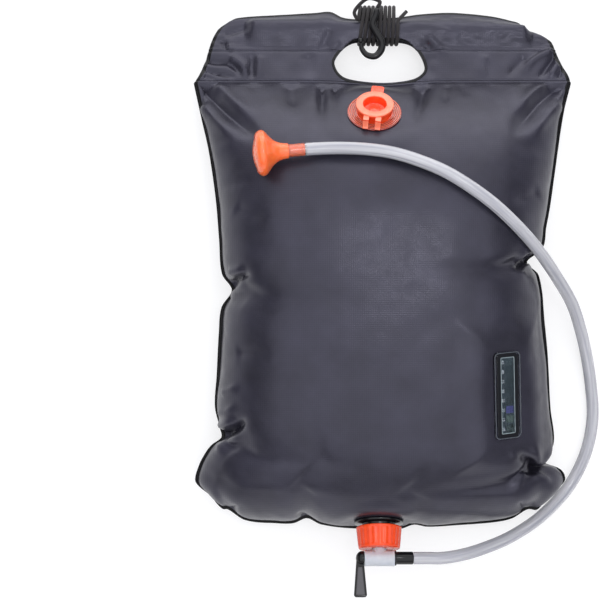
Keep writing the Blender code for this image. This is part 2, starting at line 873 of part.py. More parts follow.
def make_tap_body(outlet):
    clear = material("tap_body_plastic", (0.70, 0.74, 0.82), 0.3, 0.75)
    low = tap_flange_start()
    deck = low + tap_flange_thick
    axis = barrel_axis()
    profile = [
        (0, low), (tap_flange_radius, low), (tap_flange_radius, deck), (tap_neck_radius, deck),
        (tap_neck_radius, axis), (0, axis),
    ]
    body = add_object("tap_body", turned(profile, tap_sides), clear, outlet)
    half = barrel_length / 2
    barrel = drum(barrel_radius, -half, half, tap_sides, "X")
    combine(body, add_cutter("barrel", barrel, outlet, (0, 0, axis)), "UNION")
    bore = drum(plug_radius + gap, -half - overrun, half + overrun, tap_sides, "X")
    combine(body, add_cutter("barrel_bore", bore, outlet, (0, 0, axis)), "DIFFERENCE")
    way = drum(tap_neck_bore, low - overrun, axis, tap_sides)
    combine(body, add_cutter("neck_bore", way, outlet), "DIFFERENCE")


def spigot_face():
    """Where the hose meets the shoulder, from the middle of the barrel."""
    return barrel_length / 2 + gap + head_ring_width + shoulder_length


def make_tap_plug(outlet):
    """Rotary plug with the hose spigot. Its origin is on the barrel's axis."""
    black = material("plug_plastic", (0.015, 0.015, 0.018), 0.2)
    half = barrel_length / 2
    ring = half + gap
    face = spigot_face()
    profile = [
        (0, -half), (plug_radius, -half), (plug_radius, ring), (head_ring_radius, ring),
        (head_ring_radius, ring + head_ring_width), (shoulder_radius, ring + head_ring_width),
        (shoulder_radius, face),
    ]
    for tooth in range(int(barb_length / barb_pitch)):
        foot = face + tooth * barb_pitch
        profile += [(barb_radius, foot), (barb_radius + barb_ridge, foot + barb_pitch / 5)]
    profile += [(barb_radius - barb_ridge, face + barb_length), (0, face + barb_length)]
    plug = add_object("tap_plug", turned(profile, tap_sides, "X"), black, outlet, (0, 0, barrel_axis()))
    tang = prism(rounded(tang_size, tang_size, tang_size / 8, 1), -half - tang_length, overrun - half)
    bmesh.ops.rotate(tang, verts=tang.verts, matrix=Matrix.Rotation(math.pi / 2, 3, "Y"))
    place = (0, 0, barrel_axis())
    combine(plug, add_cutter("tang", tang, outlet, place), "UNION")
    axial = drum(spigot_bore, -tap_neck_bore / 2, face + barb_length + overrun, tap_sides, "X")
    combine(plug, add_cutter("axial_bore", axial, outlet, place), "DIFFERENCE")
    cross = drum(plug_cross_bore, -plug_radius - overrun, 0, tap_sides)
    combine(plug, add_cutter("cross_bore", cross, outlet, place), "DIFFERENCE")


def make_lever(outlet):
    """Lever with a raised rim round its face. Its origin is on the barrel's axis, and it points outwards."""
    black = material("lever_plastic", (0.03, 0.03, 0.033), 0.35)
    outer = -barrel_length / 2 - gap - lever_hub_width
    inner = -barrel_length / 2 - gap
    middle = (outer + inner) / 2
    edge = lever_corner / 2
    hub_profile = [
        (0, outer), (lever_hub_radius - lever_corner, outer), (lever_hub_radius - edge / 2, outer + edge),
        (lever_hub_radius, outer + lever_corner), (lever_hub_radius, inner), (0, inner),
    ]
    place = (0, 0, barrel_axis())
    lever = add_object("tap_lever", turned(hub_profile, tap_sides, "X"), black, outlet, place)
    shape = bmesh.new()
    root, end = lever_root_width / 2, lever_end_width / 2
    outline = [
        (middle - root, 0), (middle - end, lever_length - lever_corner),
        (middle - end + lever_corner, lever_length), (middle + end - lever_corner, lever_length),
        (middle + end, lever_length - lever_corner), (middle + root, 0),
    ]
    half = lever_thick / 2
    face = shape.faces.new([shape.verts.new((x, half, z)) for x, z in outline])
    grown = bmesh.ops.extrude_face_region(shape, geom=[face])
    back = [part for part in grown["geom"] if isinstance(part, bmesh.types.BMVert)]
    bmesh.ops.translate(shape, verts=back, vec=(0, -lever_thick, 0))
    bmesh.ops.recalc_face_normals(shape, faces=shape.faces)
    combine(lever, add_cutter("paddle", shape, outlet, place), "UNION")
    start = lever_hub_radius + lever_rim
    wide = root + (end - root) * start / lever_length - lever_rim
    panel_outline = [
        (middle - wide, start), (middle - end + lever_rim, lever_length - lever_rim),
        (middle + end - lever_rim, lever_length - lever_rim), (middle + wide, start),
    ]
    recess = prism([(x, z) for x, z in panel_outline], 0, lever_recess + overrun)
    turn = Matrix(((1, 0, 0), (0, 0, 1), (0, 1, 0)))
    bmesh.ops.transform(recess, verts=recess.verts, matrix=turn)
    bmesh.ops.recalc_face_normals(recess, faces=recess.faces)
    depth = half - lever_recess
    cutter = add_cutter("lever_recess", recess, outlet, (0, depth, barrel_axis()))
    combine(lever, cutter, "DIFFERENCE")
    room = tang_size + 2 * gap
    socket = prism(rounded(room, room, room / 8, 1), inner - tang_length - gap, inner + overrun)
    bmesh.ops.rotate(socket, verts=socket.verts, matrix=Matrix.Rotation(math.pi / 2, 3, "Y"))
    combine(lever, add_cutter("lever_socket", socket, outlet, place), "DIFFERENCE")


# Hose and shower head


def make_hose():
    clear = material("hose_vinyl", (0.82, 0.82, 0.85), 0.15, 0.45)
    points, length = spaced(smooth_curve(hose_route), hose_step)
    shape = tube_shape(points, hose_radius, 2)
    hose = add_object("hose", shape, clear)
    start = points[0] + (points[0] - points[1]).normalized() * overrun
    end = points[-1] + (points[-1] - points[-2]).normalized() * overrun
    inner = tube_shape([start] + points[1:-1] + [end], hose_bore, 2)
    combine(hose, add_cutter("hose_bore", inner), "DIFFERENCE")
    print(f"hose: {length:.4f} m, {len(points)} points")
    return points


def head_matrix(points):
    """Frame of the shower head: origin at its neck, where the hose ends, Z towards its face."""
    out = (points[-1] - points[-2]).normalized()
    right = Vector((0, 0, 1)).cross(out).normalized()
    frame = Matrix((right, out.cross(right), out)).transposed().to_4x4()
    frame.translation = points[-1] + out * gap
    return frame


def head_outline(inset):
    points = []
    for share, wide in reversed(head_shares):
        radius = head_neck_radius + (head_bulb_radius - head_neck_radius) * wide
        points.append((radius - inset, head_length * (1 - share)))
    return points


def make_head(head):
    orange = material("head_plastic", (1.0, 0.22, 0.06), 0.25)
    tail = [(barb_radius - barb_ridge, -barb_length)]
    for tooth in range(int(barb_length / barb_pitch)):
        top = -barb_length + (tooth + 1) * barb_pitch
        tail += [(barb_radius + barb_ridge, top - barb_pitch / 5), (barb_radius, top)]
    tail.append((barb_radius, 0))
    mouth = rose_radius + gap
    seat = head_length - rose_thick - gap
    inner = [(mouth, head_length), (mouth, seat), (mouth - head_wall, seat)]
    hollow = [place for place in head_outline(head_wall)[2:-3]]
    bore = spigot_bore
    profile = tail + head_outline(0) + inner + hollow[::-1] + [(bore, hollow[0][1]), (bore, -barb_length)]
    add_object("shower_head", turned(profile, head_sides), orange, head)


def make_rose(head):
    orange = material("rose_plastic", (1.0, 0.20, 0.05), 0.3)
    low = head_length - rose_thick
    rim = head_length - rose_thick / 3
    profile = [(0, low), (rose_radius, low), (rose_radius, rim)]
    for step in range(1, 4):
        share = 1 - step / 4
        profile.append((rose_radius * share, rim + rose_crown * (1 - share**2)))
    profile.append((0, rim + rose_crown))
    rose = add_object("shower_rose", turned(profile, head_sides), orange, head)
    jets = bmesh.new()
    for ring in range(rose_rings):
        for number in range(max(1, 6 * ring)):
            angle = math.tau * number / max(1, 6 * ring)
            reach = ring * rose_ring_spacing
            turn = Matrix.Translation((reach * math.cos(angle), reach * math.sin(angle), head_length))
            bmesh.ops.create_cone(
                jets, cap_ends=True, segments=rose_hole_sides, radius1=rose_hole_radius,
                radius2=rose_hole_radius, depth=2 * overrun, matrix=turn,
            )
    combine(rose, add_cutter("jets", jets, head), "DIFFERENCE")


# Hanging cord and hook


def hook_height():
    return winding_half_up + cord_radius + hook_above_cord + hook_radius


def hook_points():
    """From the eye end over the winding, dipping towards the hole, round the bend to the tip."""
    points = []
    for across, down in hook_shares:
        y = hook_eye_above_weld - hook_length * down
        z = hook_height() + hook_dip * (y - winding_above_weld)
        points.append((hook_eye_x + hook_width * across, y, z))
    return smooth_curve(points, steps=3)


def cord_points():
    """From a short tail at the right, round the grip turn by turn, over to the hook's eye end."""
    points = []
    count = cord_turns * cord_turn_points
    for number in range(count + 1):
        turn = number / cord_turn_points
        angle = math.tau * turn + math.pi / 2
        lean = winding_lean * turn / cord_turns * math.cos(angle)
        x = winding_right_x - cord_turn_spacing * turn + lean
        y = winding_above_weld + winding_half_across * math.cos(angle)
        points.append(Vector((x, y, winding_half_up * math.sin(angle))))
    return points


def make_cord(header):
    black = material("cord_braid", (0.02, 0.02, 0.022), 0.85)
    turns = cord_points()
    tail_end = turns[0] + Vector((2 * cord_turn_spacing, winding_half_across / 2, 0))
    eye, after = hook_points()[:2]
    out = (eye - after).normalized()
    above = eye + out * (hook_radius + 2 * cord_radius)
    square = eye + out * (gap + cord_radius)
    last = turns[-1]
    side = Vector((last.x - 2 * cord_radius, (last.y + above.y) / 2, (last.z + eye.z) / 2))
    over = Vector(((side.x + above.x) / 2, above.y + 2 * cord_radius, eye.z))
    lead = smooth_curve([last, side, over, above, square], steps=5)[1:]
    points = [tail_end] + turns + lead + [eye + out * gap]
    tube("hanging_cord", points, [cord_radius] * len(points), 1, black, header)
    report_cord(points)


def report_cord(points):
    """Prints the cord's length and its least gap to itself, past two diameters along it."""
    marks = [0.0]
    for start, end in zip(points, points[1:]):
        marks.append(marks[-1] + (end - start).length)
    least = min(
        (first - second).length
        for i, first in enumerate(points)
        for j, second in enumerate(points)
        if marks[j] - marks[i] > 4 * math.pi * cord_radius
    )
    print(f"hanging cord: {marks[-1]:.4f} m, least gap to itself {(least - 2 * cord_radius) * 1000:.2f} mm")


def make_hook(header):
    black = material("hook_plastic", (0.012, 0.012, 0.014), 0.15)
    points = hook_points()
    count = len(points)
    radii = []
    for number in range(count):
        share = number / (count - 1)
        taper = max(0.0, (share - 0.55) / 0.45)
        radii.append(hook_radius + (hook_tip_radius - hook_radius) * taper)
    tip = points[-1]
    ahead = (tip - points[-2]).normalized()
    for quarter in range(1, 4):
        angle = math.pi * quarter / 4
        points.append(tip + ahead * hook_ball_radius * (1 - math.cos(angle)))
        radii.append(hook_ball_radius * math.sin(angle))
    tube("hook", points, radii, 2, black, header)


def build():
    clear_scene()
    header = add_frame("header_frame", header_matrix())
    port = add_frame("port_frame", port_matrix())
    pocket = add_frame("pocket_frame", pocket_matrix())
    outlet = add_frame("outlet_frame", outlet_matrix())
    make_film(header, port, outlet)
    make_rod(header)
    make_fill_flange(port)
    make_fill_cap(port)
    make_thermometer(pocket)
    make_outlet_spout(outlet)
    make_washer(outlet)
    make_collar(outlet)
    make_tap_body(outlet)
    make_tap_plug(outlet)
    make_lever(outlet)
    points = make_hose()
    head = add_frame("head_frame", head_matrix(points))
    make_head(head)
    make_rose(head)
    make_cord(header)
    make_hook(header)
    bpy.context.view_layer.update()


build()
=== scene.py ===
import json
import math
import random

import bmesh
import bpy
from mathutils import Matrix, Vector, noise


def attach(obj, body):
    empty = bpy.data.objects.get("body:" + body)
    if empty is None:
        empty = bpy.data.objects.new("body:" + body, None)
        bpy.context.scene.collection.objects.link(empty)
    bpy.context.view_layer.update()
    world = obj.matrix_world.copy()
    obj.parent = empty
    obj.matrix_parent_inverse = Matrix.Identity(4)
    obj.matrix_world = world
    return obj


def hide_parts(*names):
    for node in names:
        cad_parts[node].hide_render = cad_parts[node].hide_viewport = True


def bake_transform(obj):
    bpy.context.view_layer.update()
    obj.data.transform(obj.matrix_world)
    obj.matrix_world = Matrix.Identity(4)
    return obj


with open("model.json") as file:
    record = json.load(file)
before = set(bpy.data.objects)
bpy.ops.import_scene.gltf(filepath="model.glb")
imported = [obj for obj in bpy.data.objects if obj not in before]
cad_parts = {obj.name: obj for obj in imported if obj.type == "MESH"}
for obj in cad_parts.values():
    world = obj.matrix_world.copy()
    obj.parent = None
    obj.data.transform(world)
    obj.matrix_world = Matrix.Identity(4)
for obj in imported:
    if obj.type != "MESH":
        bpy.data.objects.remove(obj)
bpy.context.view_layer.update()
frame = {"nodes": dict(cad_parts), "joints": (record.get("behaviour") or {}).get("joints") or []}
scene = bpy.context.scene
scene.view_settings.view_transform = "Standard"
print("frame loaded")

# Camera: straight above the bag, as in the photograph
view = {"x": -0.0888, "y": 0.00535, "height": 1.6, "lens": 86.9, "sensor": 36}
cameraData = bpy.data.cameras.new("viewCamera")
cameraData.lens = view["lens"]
cameraData.sensor_width = view["sensor"]
camera = bpy.data.objects.new("viewCamera", cameraData)
scene.collection.objects.link(camera)
camera.location = (view["x"], view["y"], view["height"])
scene.camera = camera

shop = {"overrun": 0.004, "merge": 0.00001, "gap": 0.0003}  # sizes that all pieces share


def fromHex(code, alpha=1.0):  # sRGB hex to the linear colour that shaders use
    values = [int(code[i:i + 2], 16) / 255 for i in (1, 3, 5)]
    return (*(v / 12.92 if v <= 0.04045 else ((v + 0.055) / 1.055) ** 2.4 for v in values), alpha)


def addNode(tree, kind, inputs=None, stops=(), **settings):  # stops: places and hex colours of a colour ramp
    node = tree.nodes.new("ShaderNode" + kind)
    for key, value in settings.items():
        setattr(node, key, value)
    for number, (place, code) in enumerate(stops):
        elements = node.color_ramp.elements
        element = elements[number] if number < 2 else elements.new(place)
        element.position = place
        element.color = fromHex(code)
    for key, value in (inputs or {}).items():
        if isinstance(value, bpy.types.NodeSocket):
            tree.links.new(value, node.inputs[key])
        else:
            node.inputs[key].default_value = value
    return node


def startMaterial(name, **sockets):
    made = bpy.data.materials.new(name)
    made.use_nodes = True
    shader = made.node_tree.nodes["Principled BSDF"]
    for key, value in sockets.items():
        shader.inputs[key.replace("_", " ")].default_value = value
    return made, made.node_tree, shader


# A finish that drifts between two colours with a noise. Its bump follows that noise, or one of its own, and
# gloss is the range of roughness that goes with it. A noise is its scale, detail and distortion
def mottled(name, grain, colours, bump=None, skin=None, gloss=None, **sockets):
    made, tree, shader = startMaterial(name, **sockets)
    spot = addNode(tree, "TexCoord").outputs["Object"]
    clouds = []
    for each in (grain, skin) if skin else (grain,):
        values = dict(zip(("Scale", "Detail", "Distortion"), each))
        clouds.append(addNode(tree, "TexNoise", {"Vector": spot, **values}).outputs["Fac"])
    tint = addNode(tree, "ValToRGB", {"Fac": clouds[0]}, stops=tuple(zip((0, 1), colours)))
    tree.links.new(tint.outputs["Color"], shader.inputs["Base Color"])
    if gloss:
        shine = addNode(tree, "MapRange", {"Value": clouds[0], "To Min": gloss[0], "To Max": gloss[1]})
        tree.links.new(shine.outputs["Result"], shader.inputs["Roughness"])
    if bump:
        lift = addNode(tree, "Bump", {"Height": clouds[-1], "Strength": bump[0], "Distance": bump[1]})
        tree.links.new(lift.outputs["Normal"], shader.inputs["Normal"])
    return made


def activate(piece):
    bpy.ops.object.select_all(action="DESELECT")
    piece.select_set(True)
    bpy.context.view_layer.objects.active = piece


def applyAll(piece):
    activate(piece)
    for modifier in list(piece.modifiers):
        bpy.ops.object.modifier_apply(modifier=modifier.name)


def roundEdges(piece, width, steps):
    edge = piece.modifiers.new("edge", "BEVEL")
    edge.width, edge.segments, edge.limit_method = width, steps, "ANGLE"
    applyAll(piece)
    return piece


def finishPiece(piece, material, body, node=None, smooth=38, place=None, second=()):
    settle(piece, place)
    activate(piece)
    bpy.ops.object.shade_smooth_by_angle(angle=math.radians(smooth))
    indices = [face.material_index for face in piece.data.polygons]
    piece.data.materials.clear()
    for each in (material, *second):
        piece.data.materials.append(each)
    if second:
        for face, index in zip(piece.data.polygons, indices):
            face.material_index = index
    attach(piece, body)
    if node:
        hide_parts(node)


def settle(piece, place):  # a place goes into the mesh, and the object stays at the origin
    if place is not None:
        piece.data.transform(place)
    return piece


def faceOutwards():  # in edit mode
    bpy.ops.mesh.select_all(action="SELECT")
    bpy.ops.mesh.normals_make_consistent(inside=False)
    bpy.ops.object.mode_set(mode="OBJECT")


def addTurned(name, profile, sides, place=None):  # a loop of points shaped to the profile and spun
    bpy.ops.object.select_all(action="DESELECT")
    bpy.ops.mesh.primitive_circle_add(vertices=len(profile), radius=1)
    piece = bpy.context.object
    piece.name = name
    for vertex, (radius, height) in zip(piece.data.vertices, profile):
        vertex.co = (radius, 0, height)
    bpy.ops.object.mode_set(mode="EDIT")
    bpy.ops.mesh.select_all(action="SELECT")
    bpy.ops.mesh.spin(steps=sides, angle=math.tau, center=(0, 0, 0), axis=(0, 0, 1))
    bpy.ops.mesh.select_all(action="SELECT")
    bpy.ops.mesh.remove_doubles(threshold=shop["merge"])
    bpy.ops.mesh.delete_loose()
    faceOutwards()
    return settle(piece, place)


def addPlate(name, outline, low, high, place=None):  # a filled outline, extruded
    bpy.ops.object.select_all(action="DESELECT")
    bpy.ops.mesh.primitive_circle_add(vertices=len(outline), radius=1, fill_type="NGON")
    piece = bpy.context.object
    piece.name = name
    for vertex, (x, y) in zip(piece.data.vertices, outline):
        vertex.co = (x, y, low)
    bpy.ops.object.mode_set(mode="EDIT")
    bpy.ops.mesh.select_all(action="SELECT")
    bpy.ops.mesh.extrude_region_move(TRANSFORM_OT_translate={"value": (0, 0, high - low)})
    faceOutwards()
    return settle(piece, place)


def addDrum(name, radius, low, high, sides, place=None):
    angles = [math.tau * number / sides for number in range(sides)]
    return addPlate(name, [(radius * math.cos(a), radius * math.sin(a)) for a in angles], low, high, place)


def joinPieces(first, *others):
    bpy.ops.object.select_all(action="DESELECT")
    for piece in (first, *others):
        piece.select_set(True)
    bpy.context.view_layer.objects.active = first
    bpy.ops.object.join()
    return first


def combine(piece, other, operation="UNION"):
    step = piece.modifiers.new("combine", "BOOLEAN")
    step.operation = operation
    step.object = other
    step.solver = "EXACT"
    applyAll(piece)
    bpy.data.objects.remove(other, do_unlink=True)


def roundedBox(width, length, corner, middle=(0, 0), steps=6):
    points = []
    for quarter, (i, j) in enumerate(((1, 1), (-1, 1), (-1, -1), (1, -1))):
        x, y = middle[0] + i * (width / 2 - corner), middle[1] + j * (length / 2 - corner)
        for step in range(steps + 1):
            angle = (quarter + step / steps) * math.pi / 2
            points.append((x + corner * math.cos(angle), y + corner * math.sin(angle)))
    return points


def smoothCurve(points, closed=False, steps=6):  # points on a smooth curve through the given ones
    count = len(points)
    vectors = [Vector(point) for point in points]
    found = []
    for index in range(count if closed else count - 1):
        before, start, end, after = (
            vectors[(index + k) % count] if closed else vectors[min(max(index + k, 0), count - 1)]
            for k in (-1, 0, 1, 2)
        )
        for step in range(steps):
            t = step / steps
            found.append(
                start + 0.5 * t * (end - before) + t**2 * (before - 2.5 * start + 2 * end - 0.5 * after)
                + 0.5 * t**3 * (3 * start - 3 * end + after - before)
            )
    if not closed:
        found.append(vectors[-1])
    return found


def lengthsAlong(points):  # how far along the line each of its points lies
    marks = [0.0]
    for start, end in zip(points, points[1:]):
        marks.append(marks[-1] + (end - start).length)
    return marks


def eased(share):  # from 0 to 1 with a soft start and stop
    return share * share * (3 - 2 * share)


def addTube(name, points, radiusAt, sides, bore=0.0):  # rings along a path, with a UV map that follows it
    shape = bmesh.new()
    layer = shape.loops.layers.uv.new("alongCord")
    marks = lengthsAlong(points)
    ways = []
    for index in range(len(points)):
        ahead = points[min(index + 1, len(points) - 1)] - points[max(index - 1, 0)]
        ways.append(ahead.normalized())
    side = ways[0].orthogonal().normalized()
    rings = []
    for index, (point, way) in enumerate(zip(points, ways)):
        side = (side - side.dot(way) * way).normalized()
        up = way.cross(side)
        rings.append([])
        for number in range(sides):
            angle = math.tau * number / sides
            out = side * math.cos(angle) + up * math.sin(angle)
            rings[-1].append((point, out, radiusAt(marks[index] / marks[-1])))

    def skin(scale, inward):
        rows = [[shape.verts.new(p + o * (scale or r)) for p, o, r in ring] for ring in rings]
        for row, (low, high) in enumerate(zip(rows, rows[1:])):
            for number in range(sides):
                after = (number + 1) % sides
                corners = [low[number], low[after], high[after], high[number]]
                spots = [(number, row), (number + 1, row), (number + 1, row + 1), (number, row + 1)]
                if inward:
                    corners, spots = corners[::-1], spots[::-1]
                face = shape.faces.new(corners)
                face.smooth = True
                for loop, (turn, step) in zip(face.loops, spots):
                    loop[layer].uv = (turn / sides, marks[step])
        return rows

    outer = skin(None, False)
    if bore:
        inner = skin(bore, True)
        for ring, hole, flip in ((outer[0], inner[0], True), (outer[-1], inner[-1], False)):
            for number in range(sides):
                after = (number + 1) % sides
                corners = [ring[number], ring[after], hole[after], hole[number]]
                shape.faces.new(corners[::-1] if flip else corners)
    else:
        shape.faces.new(outer[0][::-1])
        shape.faces.new(outer[-1])
    mesh = bpy.data.meshes.new(name)
    shape.to_mesh(mesh)
    shape.free()
    piece = bpy.data.objects.new(name, mesh)
    scene.collection.objects.link(piece)
    return piece


# Form of the filled bag: across and along are shares from weld to weld
bag = {
    "wall": 0.0008, "seamGap": 0.00015, "weld": 0.008, "width": 0.406, "length": 0.482,
    "rise": 0.088, "drop": 0.066, "sideHeight": 0.050, "topHeight": 0.038, "lowHeight": 0.030,
    "headerHeight": 0.0823, "headerSlope": math.radians(19),
    "left": (
        (0.0, 0.953), (0.043, 0.994), (0.082, 0.973), (0.112, 0.938), (0.131, 0.905), (0.149, 0.853),
        (0.175, 0.862), (0.225, 0.886), (0.30, 0.876), (0.40, 0.864), (0.46, 0.850), (0.502, 0.795),
        (0.54, 0.847), (0.62, 0.862), (0.715, 0.880), (0.83, 0.917), (0.91, 0.957), (1.0, 1.0),
    ),
    "right": (
        (0.0, 0.927), (0.032, 0.966), (0.052, 0.974), (0.072, 0.944), (0.0913, 0.842), (0.12, 0.898),
        (0.15, 0.910), (0.22, 0.888), (0.34, 0.871), (0.42, 0.854), (0.536, 0.822), (0.568, 0.759),
        (0.60, 0.841), (0.65, 0.862), (0.71, 0.886), (0.837, 0.927), (0.933, 0.963), (1.0, 1.0),
    ),
    "low": (
        (0.0, 0.890), (0.04, 0.919), (0.06, 0.919), (0.11, 0.967), (0.20, 0.981), (0.25, 0.981),
        (0.29, 0.958), (0.33, 0.986), (0.41, 1.003), (0.56, 1.006), (0.60, 0.987), (0.64, 0.997),
        (0.73, 0.989), (0.83, 0.977), (0.885, 0.959), (0.93, 0.918), (0.965, 0.922), (1.0, 0.888),
    ),
    "headerLeft": ((0.0, 1.0), (0.15, 0.967), (0.36, 0.936), (0.66, 0.905), (0.83, 0.875), (1.0, 0.835)),
    "headerRight": ((0.0, 1.0), (0.12, 0.988), (0.26, 0.959), (0.46, 0.931), (0.75, 0.915), (1.0, 0.891)),
    "headerTop": (
        (0.0, 0.930), (0.059, 0.962), (0.144, 0.985), (0.275, 1.020), (0.3225, 1.035), (0.36, 0.950),
        (0.407, 0.925), (0.53, 0.948), (0.614, 1.0), (0.713, 1.02), (0.831, 0.970), (0.903, 0.895),
        (0.925, 0.860), (0.9395, 0.770), (0.969, 0.726), (1.0, 0.668),
    ),
    "rodUp": 0.0646, "rodMiddle": 0.0078, "rodHalf": 0.146, "rodTilt": math.tan(math.radians(-1.24)),
    "rodInside": 0.001, "rodFade": 0.014, "rodLeast": 0.008, "moundPowers": (0.8, 0.75), "sleeveUp": 0.0086,
    "cornerLeft": 0.013, "cornerRight": 0.007, "floorGap": 0.0001,
    "strip": 0.0040, "stripDrop": 0.0022,  # the weld's visible strip, and how far its cut edge hangs
    "weldSteps": (0.0, 0.0006, 0.0014, 0.0022, 0.0030, 0.0035),  # columns in the strip, from the cut edge
    "weldGroove": (0.0, 0.0002, 0.0, -0.0003, -0.0003, 0.0),
}
fittings = {
    "portX": -0.0109, "portY": 0.2007, "portTurn": math.radians(-9), "flangeRadius": 0.0285,
    "pocketX": 0.123, "pocketY": -0.0913, "pocketTurn": math.radians(2), "pocketWidth": 0.0330,
    "pocketLength": 0.0905, "outletX": -0.0053, "outletRise": 0.028, "spoutFlange": 0.0262, "room": 0.005,
    "portPatch": 0.030, "outletPatch": 0.027, "pocketPatch": 0.001, "patchDeep": 0.03, "patchFade": 0.010,
}


def readTable(table, share):  # a smooth line through a table's entries
    share = min(max(share, table[0][0]), table[-1][0])
    for index, ((start, first), (end, last)) in enumerate(zip(table, table[1:])):
        if share <= end:
            break
    span = end - start
    before = table[index - 1] if index else table[0]
    after = table[index + 2] if index + 2 < len(table) else table[-1]
    leave = (last - before[1]) / (end - before[0]) * span
    arrive = (after[1] - first) / (after[0] - start) * span
    t = (share - start) / span
    return (
        first * (2 * t**3 - 3 * t**2 + 1) + leave * (t**3 - 2 * t**2 + t)
        + last * (3 * t**2 - 2 * t**3) + arrive * (t**3 - t**2)
    )


def sideEdges(along):
    half = bag["width"] / 2
    return -half * readTable(bag["left"], along), half * readTable(bag["right"], along)


def seamHeight(along):
    side = bag["sideHeight"]
    return side - (side - bag["lowHeight"]) * (1 - along) ** 4 - (side - bag["topHeight"]) * along**4


def crown(across):
    return max(0.0, 1 - abs(2 * across - 1) ** 3) ** 0.5


def endFullness(along):
    reach = abs(2 * along - 1)
    return 1 - reach**3.34 if along > 0.5 else max(0.0, 1 - reach**5) ** 0.5


def pouchPoint(across, along, side, inset=None):
    inset = bag["weld"] if inset is None else inset
    left, right = sideEdges(along)
    left, right = left + inset, right - inset
    low = -bag["length"] / 2 * readTable(bag["low"], across) + inset
    x, y = left + (right - left) * across, low + (bag["length"] / 2 - low) * along
    seam = seamHeight(along) + side * bag["seamGap"]
    full = crown(across) * endFullness(along)
    if side > 0:
        return Vector((x, y, seam + bag["rise"] * full))
    return Vector((x, y, max(bag["wall"] + bag["floorGap"], seam - bag["drop"] * full)))


def acrossAt(x, along):
    left, right = sideEdges(along)
    return (x - left - bag["weld"]) / (right - left - 2 * bag["weld"])


def alongAt(y, x):
    low = -bag["length"] / 2 * readTable(bag["low"], acrossAt(x, 0.5)) + bag["weld"]
    return (y - low) / (bag["length"] / 2 - low)


def filmFrame(across, along, turn=0.0):  # on the front film: Z out of it, Y up towards the header
    place = pouchPoint(across, along, 1)
    side = pouchPoint(across + 0.001, along, 1) - place
    ahead = pouchPoint(across, along + 0.001, 1) - place
    out = side.cross(ahead).normalized()
    right = (Vector((1, 0, 0)) - out.x * out).normalized()
    axes = Matrix((right, out.cross(right), out)).transposed()
    placed = (axes @ Matrix.Rotation(turn, 3, "Z")).to_4x4()
    placed.translation = place
    return placed


def outletFrame():
    across = acrossAt(fittings["outletX"], 0.0)
    full = fittings["outletRise"] / (bag["rise"] * crown(across))
    along = (1 - (1 - full**2) ** 0.2) / 2
    out = filmFrame(across, along).col[2].to_3d()
    out = Vector((0, out.y, out.z)).normalized()
    right = Vector((1, 0, 0))
    placed = Matrix((right, out.cross(right), out)).transposed().to_4x4()
    foot = next(joint for joint in frame["joints"] if joint["name"] == "collar_turn")
    placed.translation = foot["pos_m"]  # the collar turns about the outlet's axis
    return placed


def spotFrame(x, y, turn):
    along = alongAt(y, x)
    return filmFrame(acrossAt(x, along), along, turn)


portPlace = spotFrame(fittings["portX"], fittings["portY"], fittings["portTurn"])
pocketPlace = spotFrame(fittings["pocketX"], fittings["pocketY"], fittings["pocketTurn"])
outletPlace = outletFrame()
headerPlace = Matrix.Rotation(-bag["headerSlope"], 4, "X")
headerPlace.translation = (0, bag["length"] / 2, bag["topHeight"])

# Cords: the hose lies from the tap round the bag's side and over the belly, and the cord is wound on the grip
hose = {
    "radius": 0.0065, "bore": 0.0047, "sides": 28, "length": 0.8183, "lift": 0.0004,
    "route": (
        (0.0308, -0.2668, 0.0726), (0.0464, -0.2668, 0.0726), (0.0614, -0.2668, 0.0722),
        (0.0830, -0.2645, 0.0660), (0.1060, -0.2600, 0.0545), (0.1348, -0.2516, 0.0390),
        (0.1645, -0.2371, 0.0240), (0.1871, -0.2202, 0.0140), (0.2060, -0.2000, 0.0090),
        (0.2200, -0.1760, 0.0072), (0.2290, -0.1500, 0.0070), (0.2330, -0.1210, 0.0070),
        (0.2310, -0.0900, 0.0076), (0.2260, -0.0600, 0.0120), (0.2178, -0.0300, 0.0205),
        (0.2051, 0.0010, 0.0355), (0.1833, 0.0309, 0.0600), (0.1580, 0.0583, 0.0945),
        (0.1339, 0.0810, 0.1165), (0.1080, 0.1030, 0.1290), (0.0822, 0.1214, 0.1325),
        (0.0575, 0.1364, 0.1305), (0.0312, 0.1477, 0.1265), (0.0062, 0.1554, 0.1235),
        (-0.0199, 0.1593, 0.1215), (-0.0480, 0.1606, 0.1206), (-0.0760, 0.1597, 0.1213),
        (-0.1004, 0.1576, 0.1228),
    ),
}
hosePoints = smoothCurve(hose["route"], steps=7)
hosePiece = addTube("showerHose", hosePoints, lambda share: hose["radius"], hose["sides"], hose["bore"])

winding = {
    "radius": 0.002, "turns": 9, "spacing": 0.0048, "turnPoints": 32, "right": 0.0176, "up": 0.0679,
    "halfAcross": 0.0222, "halfUp": 0.0118, "lean": 0.0025, "length": 1.0513, "sides": 14,
}
hook = {
    "radius": 0.0040, "tipRadius": 0.0024, "ball": 0.0032, "above": 0.0014, "eyeX": -0.0053, "eyeUp": 0.0775,
    "dip": 0.20, "length": 0.0525, "width": 0.0230, "sides": 20, "taperFrom": 0.55,
    "bend": (
        (0.02, 0.0), (-0.08, 0.15), (-0.22, 0.33), (-0.05, 0.50), (0.20, 0.70), (0.17, 0.87),
        (-0.10, 1.0), (-0.48, 0.98), (-0.72, 0.86), (-0.77, 0.74),
    ),
}


def hookPoints(steps):
    height = winding["halfUp"] + winding["radius"] + hook["above"] + hook["radius"]
    points = []
    for across, down in hook["bend"]:
        y = hook["eyeUp"] - hook["length"] * down
        z = height + hook["dip"] * (y - winding["up"])
        points.append((hook["eyeX"] + hook["width"] * across, y, z))
    return smoothCurve(points, steps=steps)


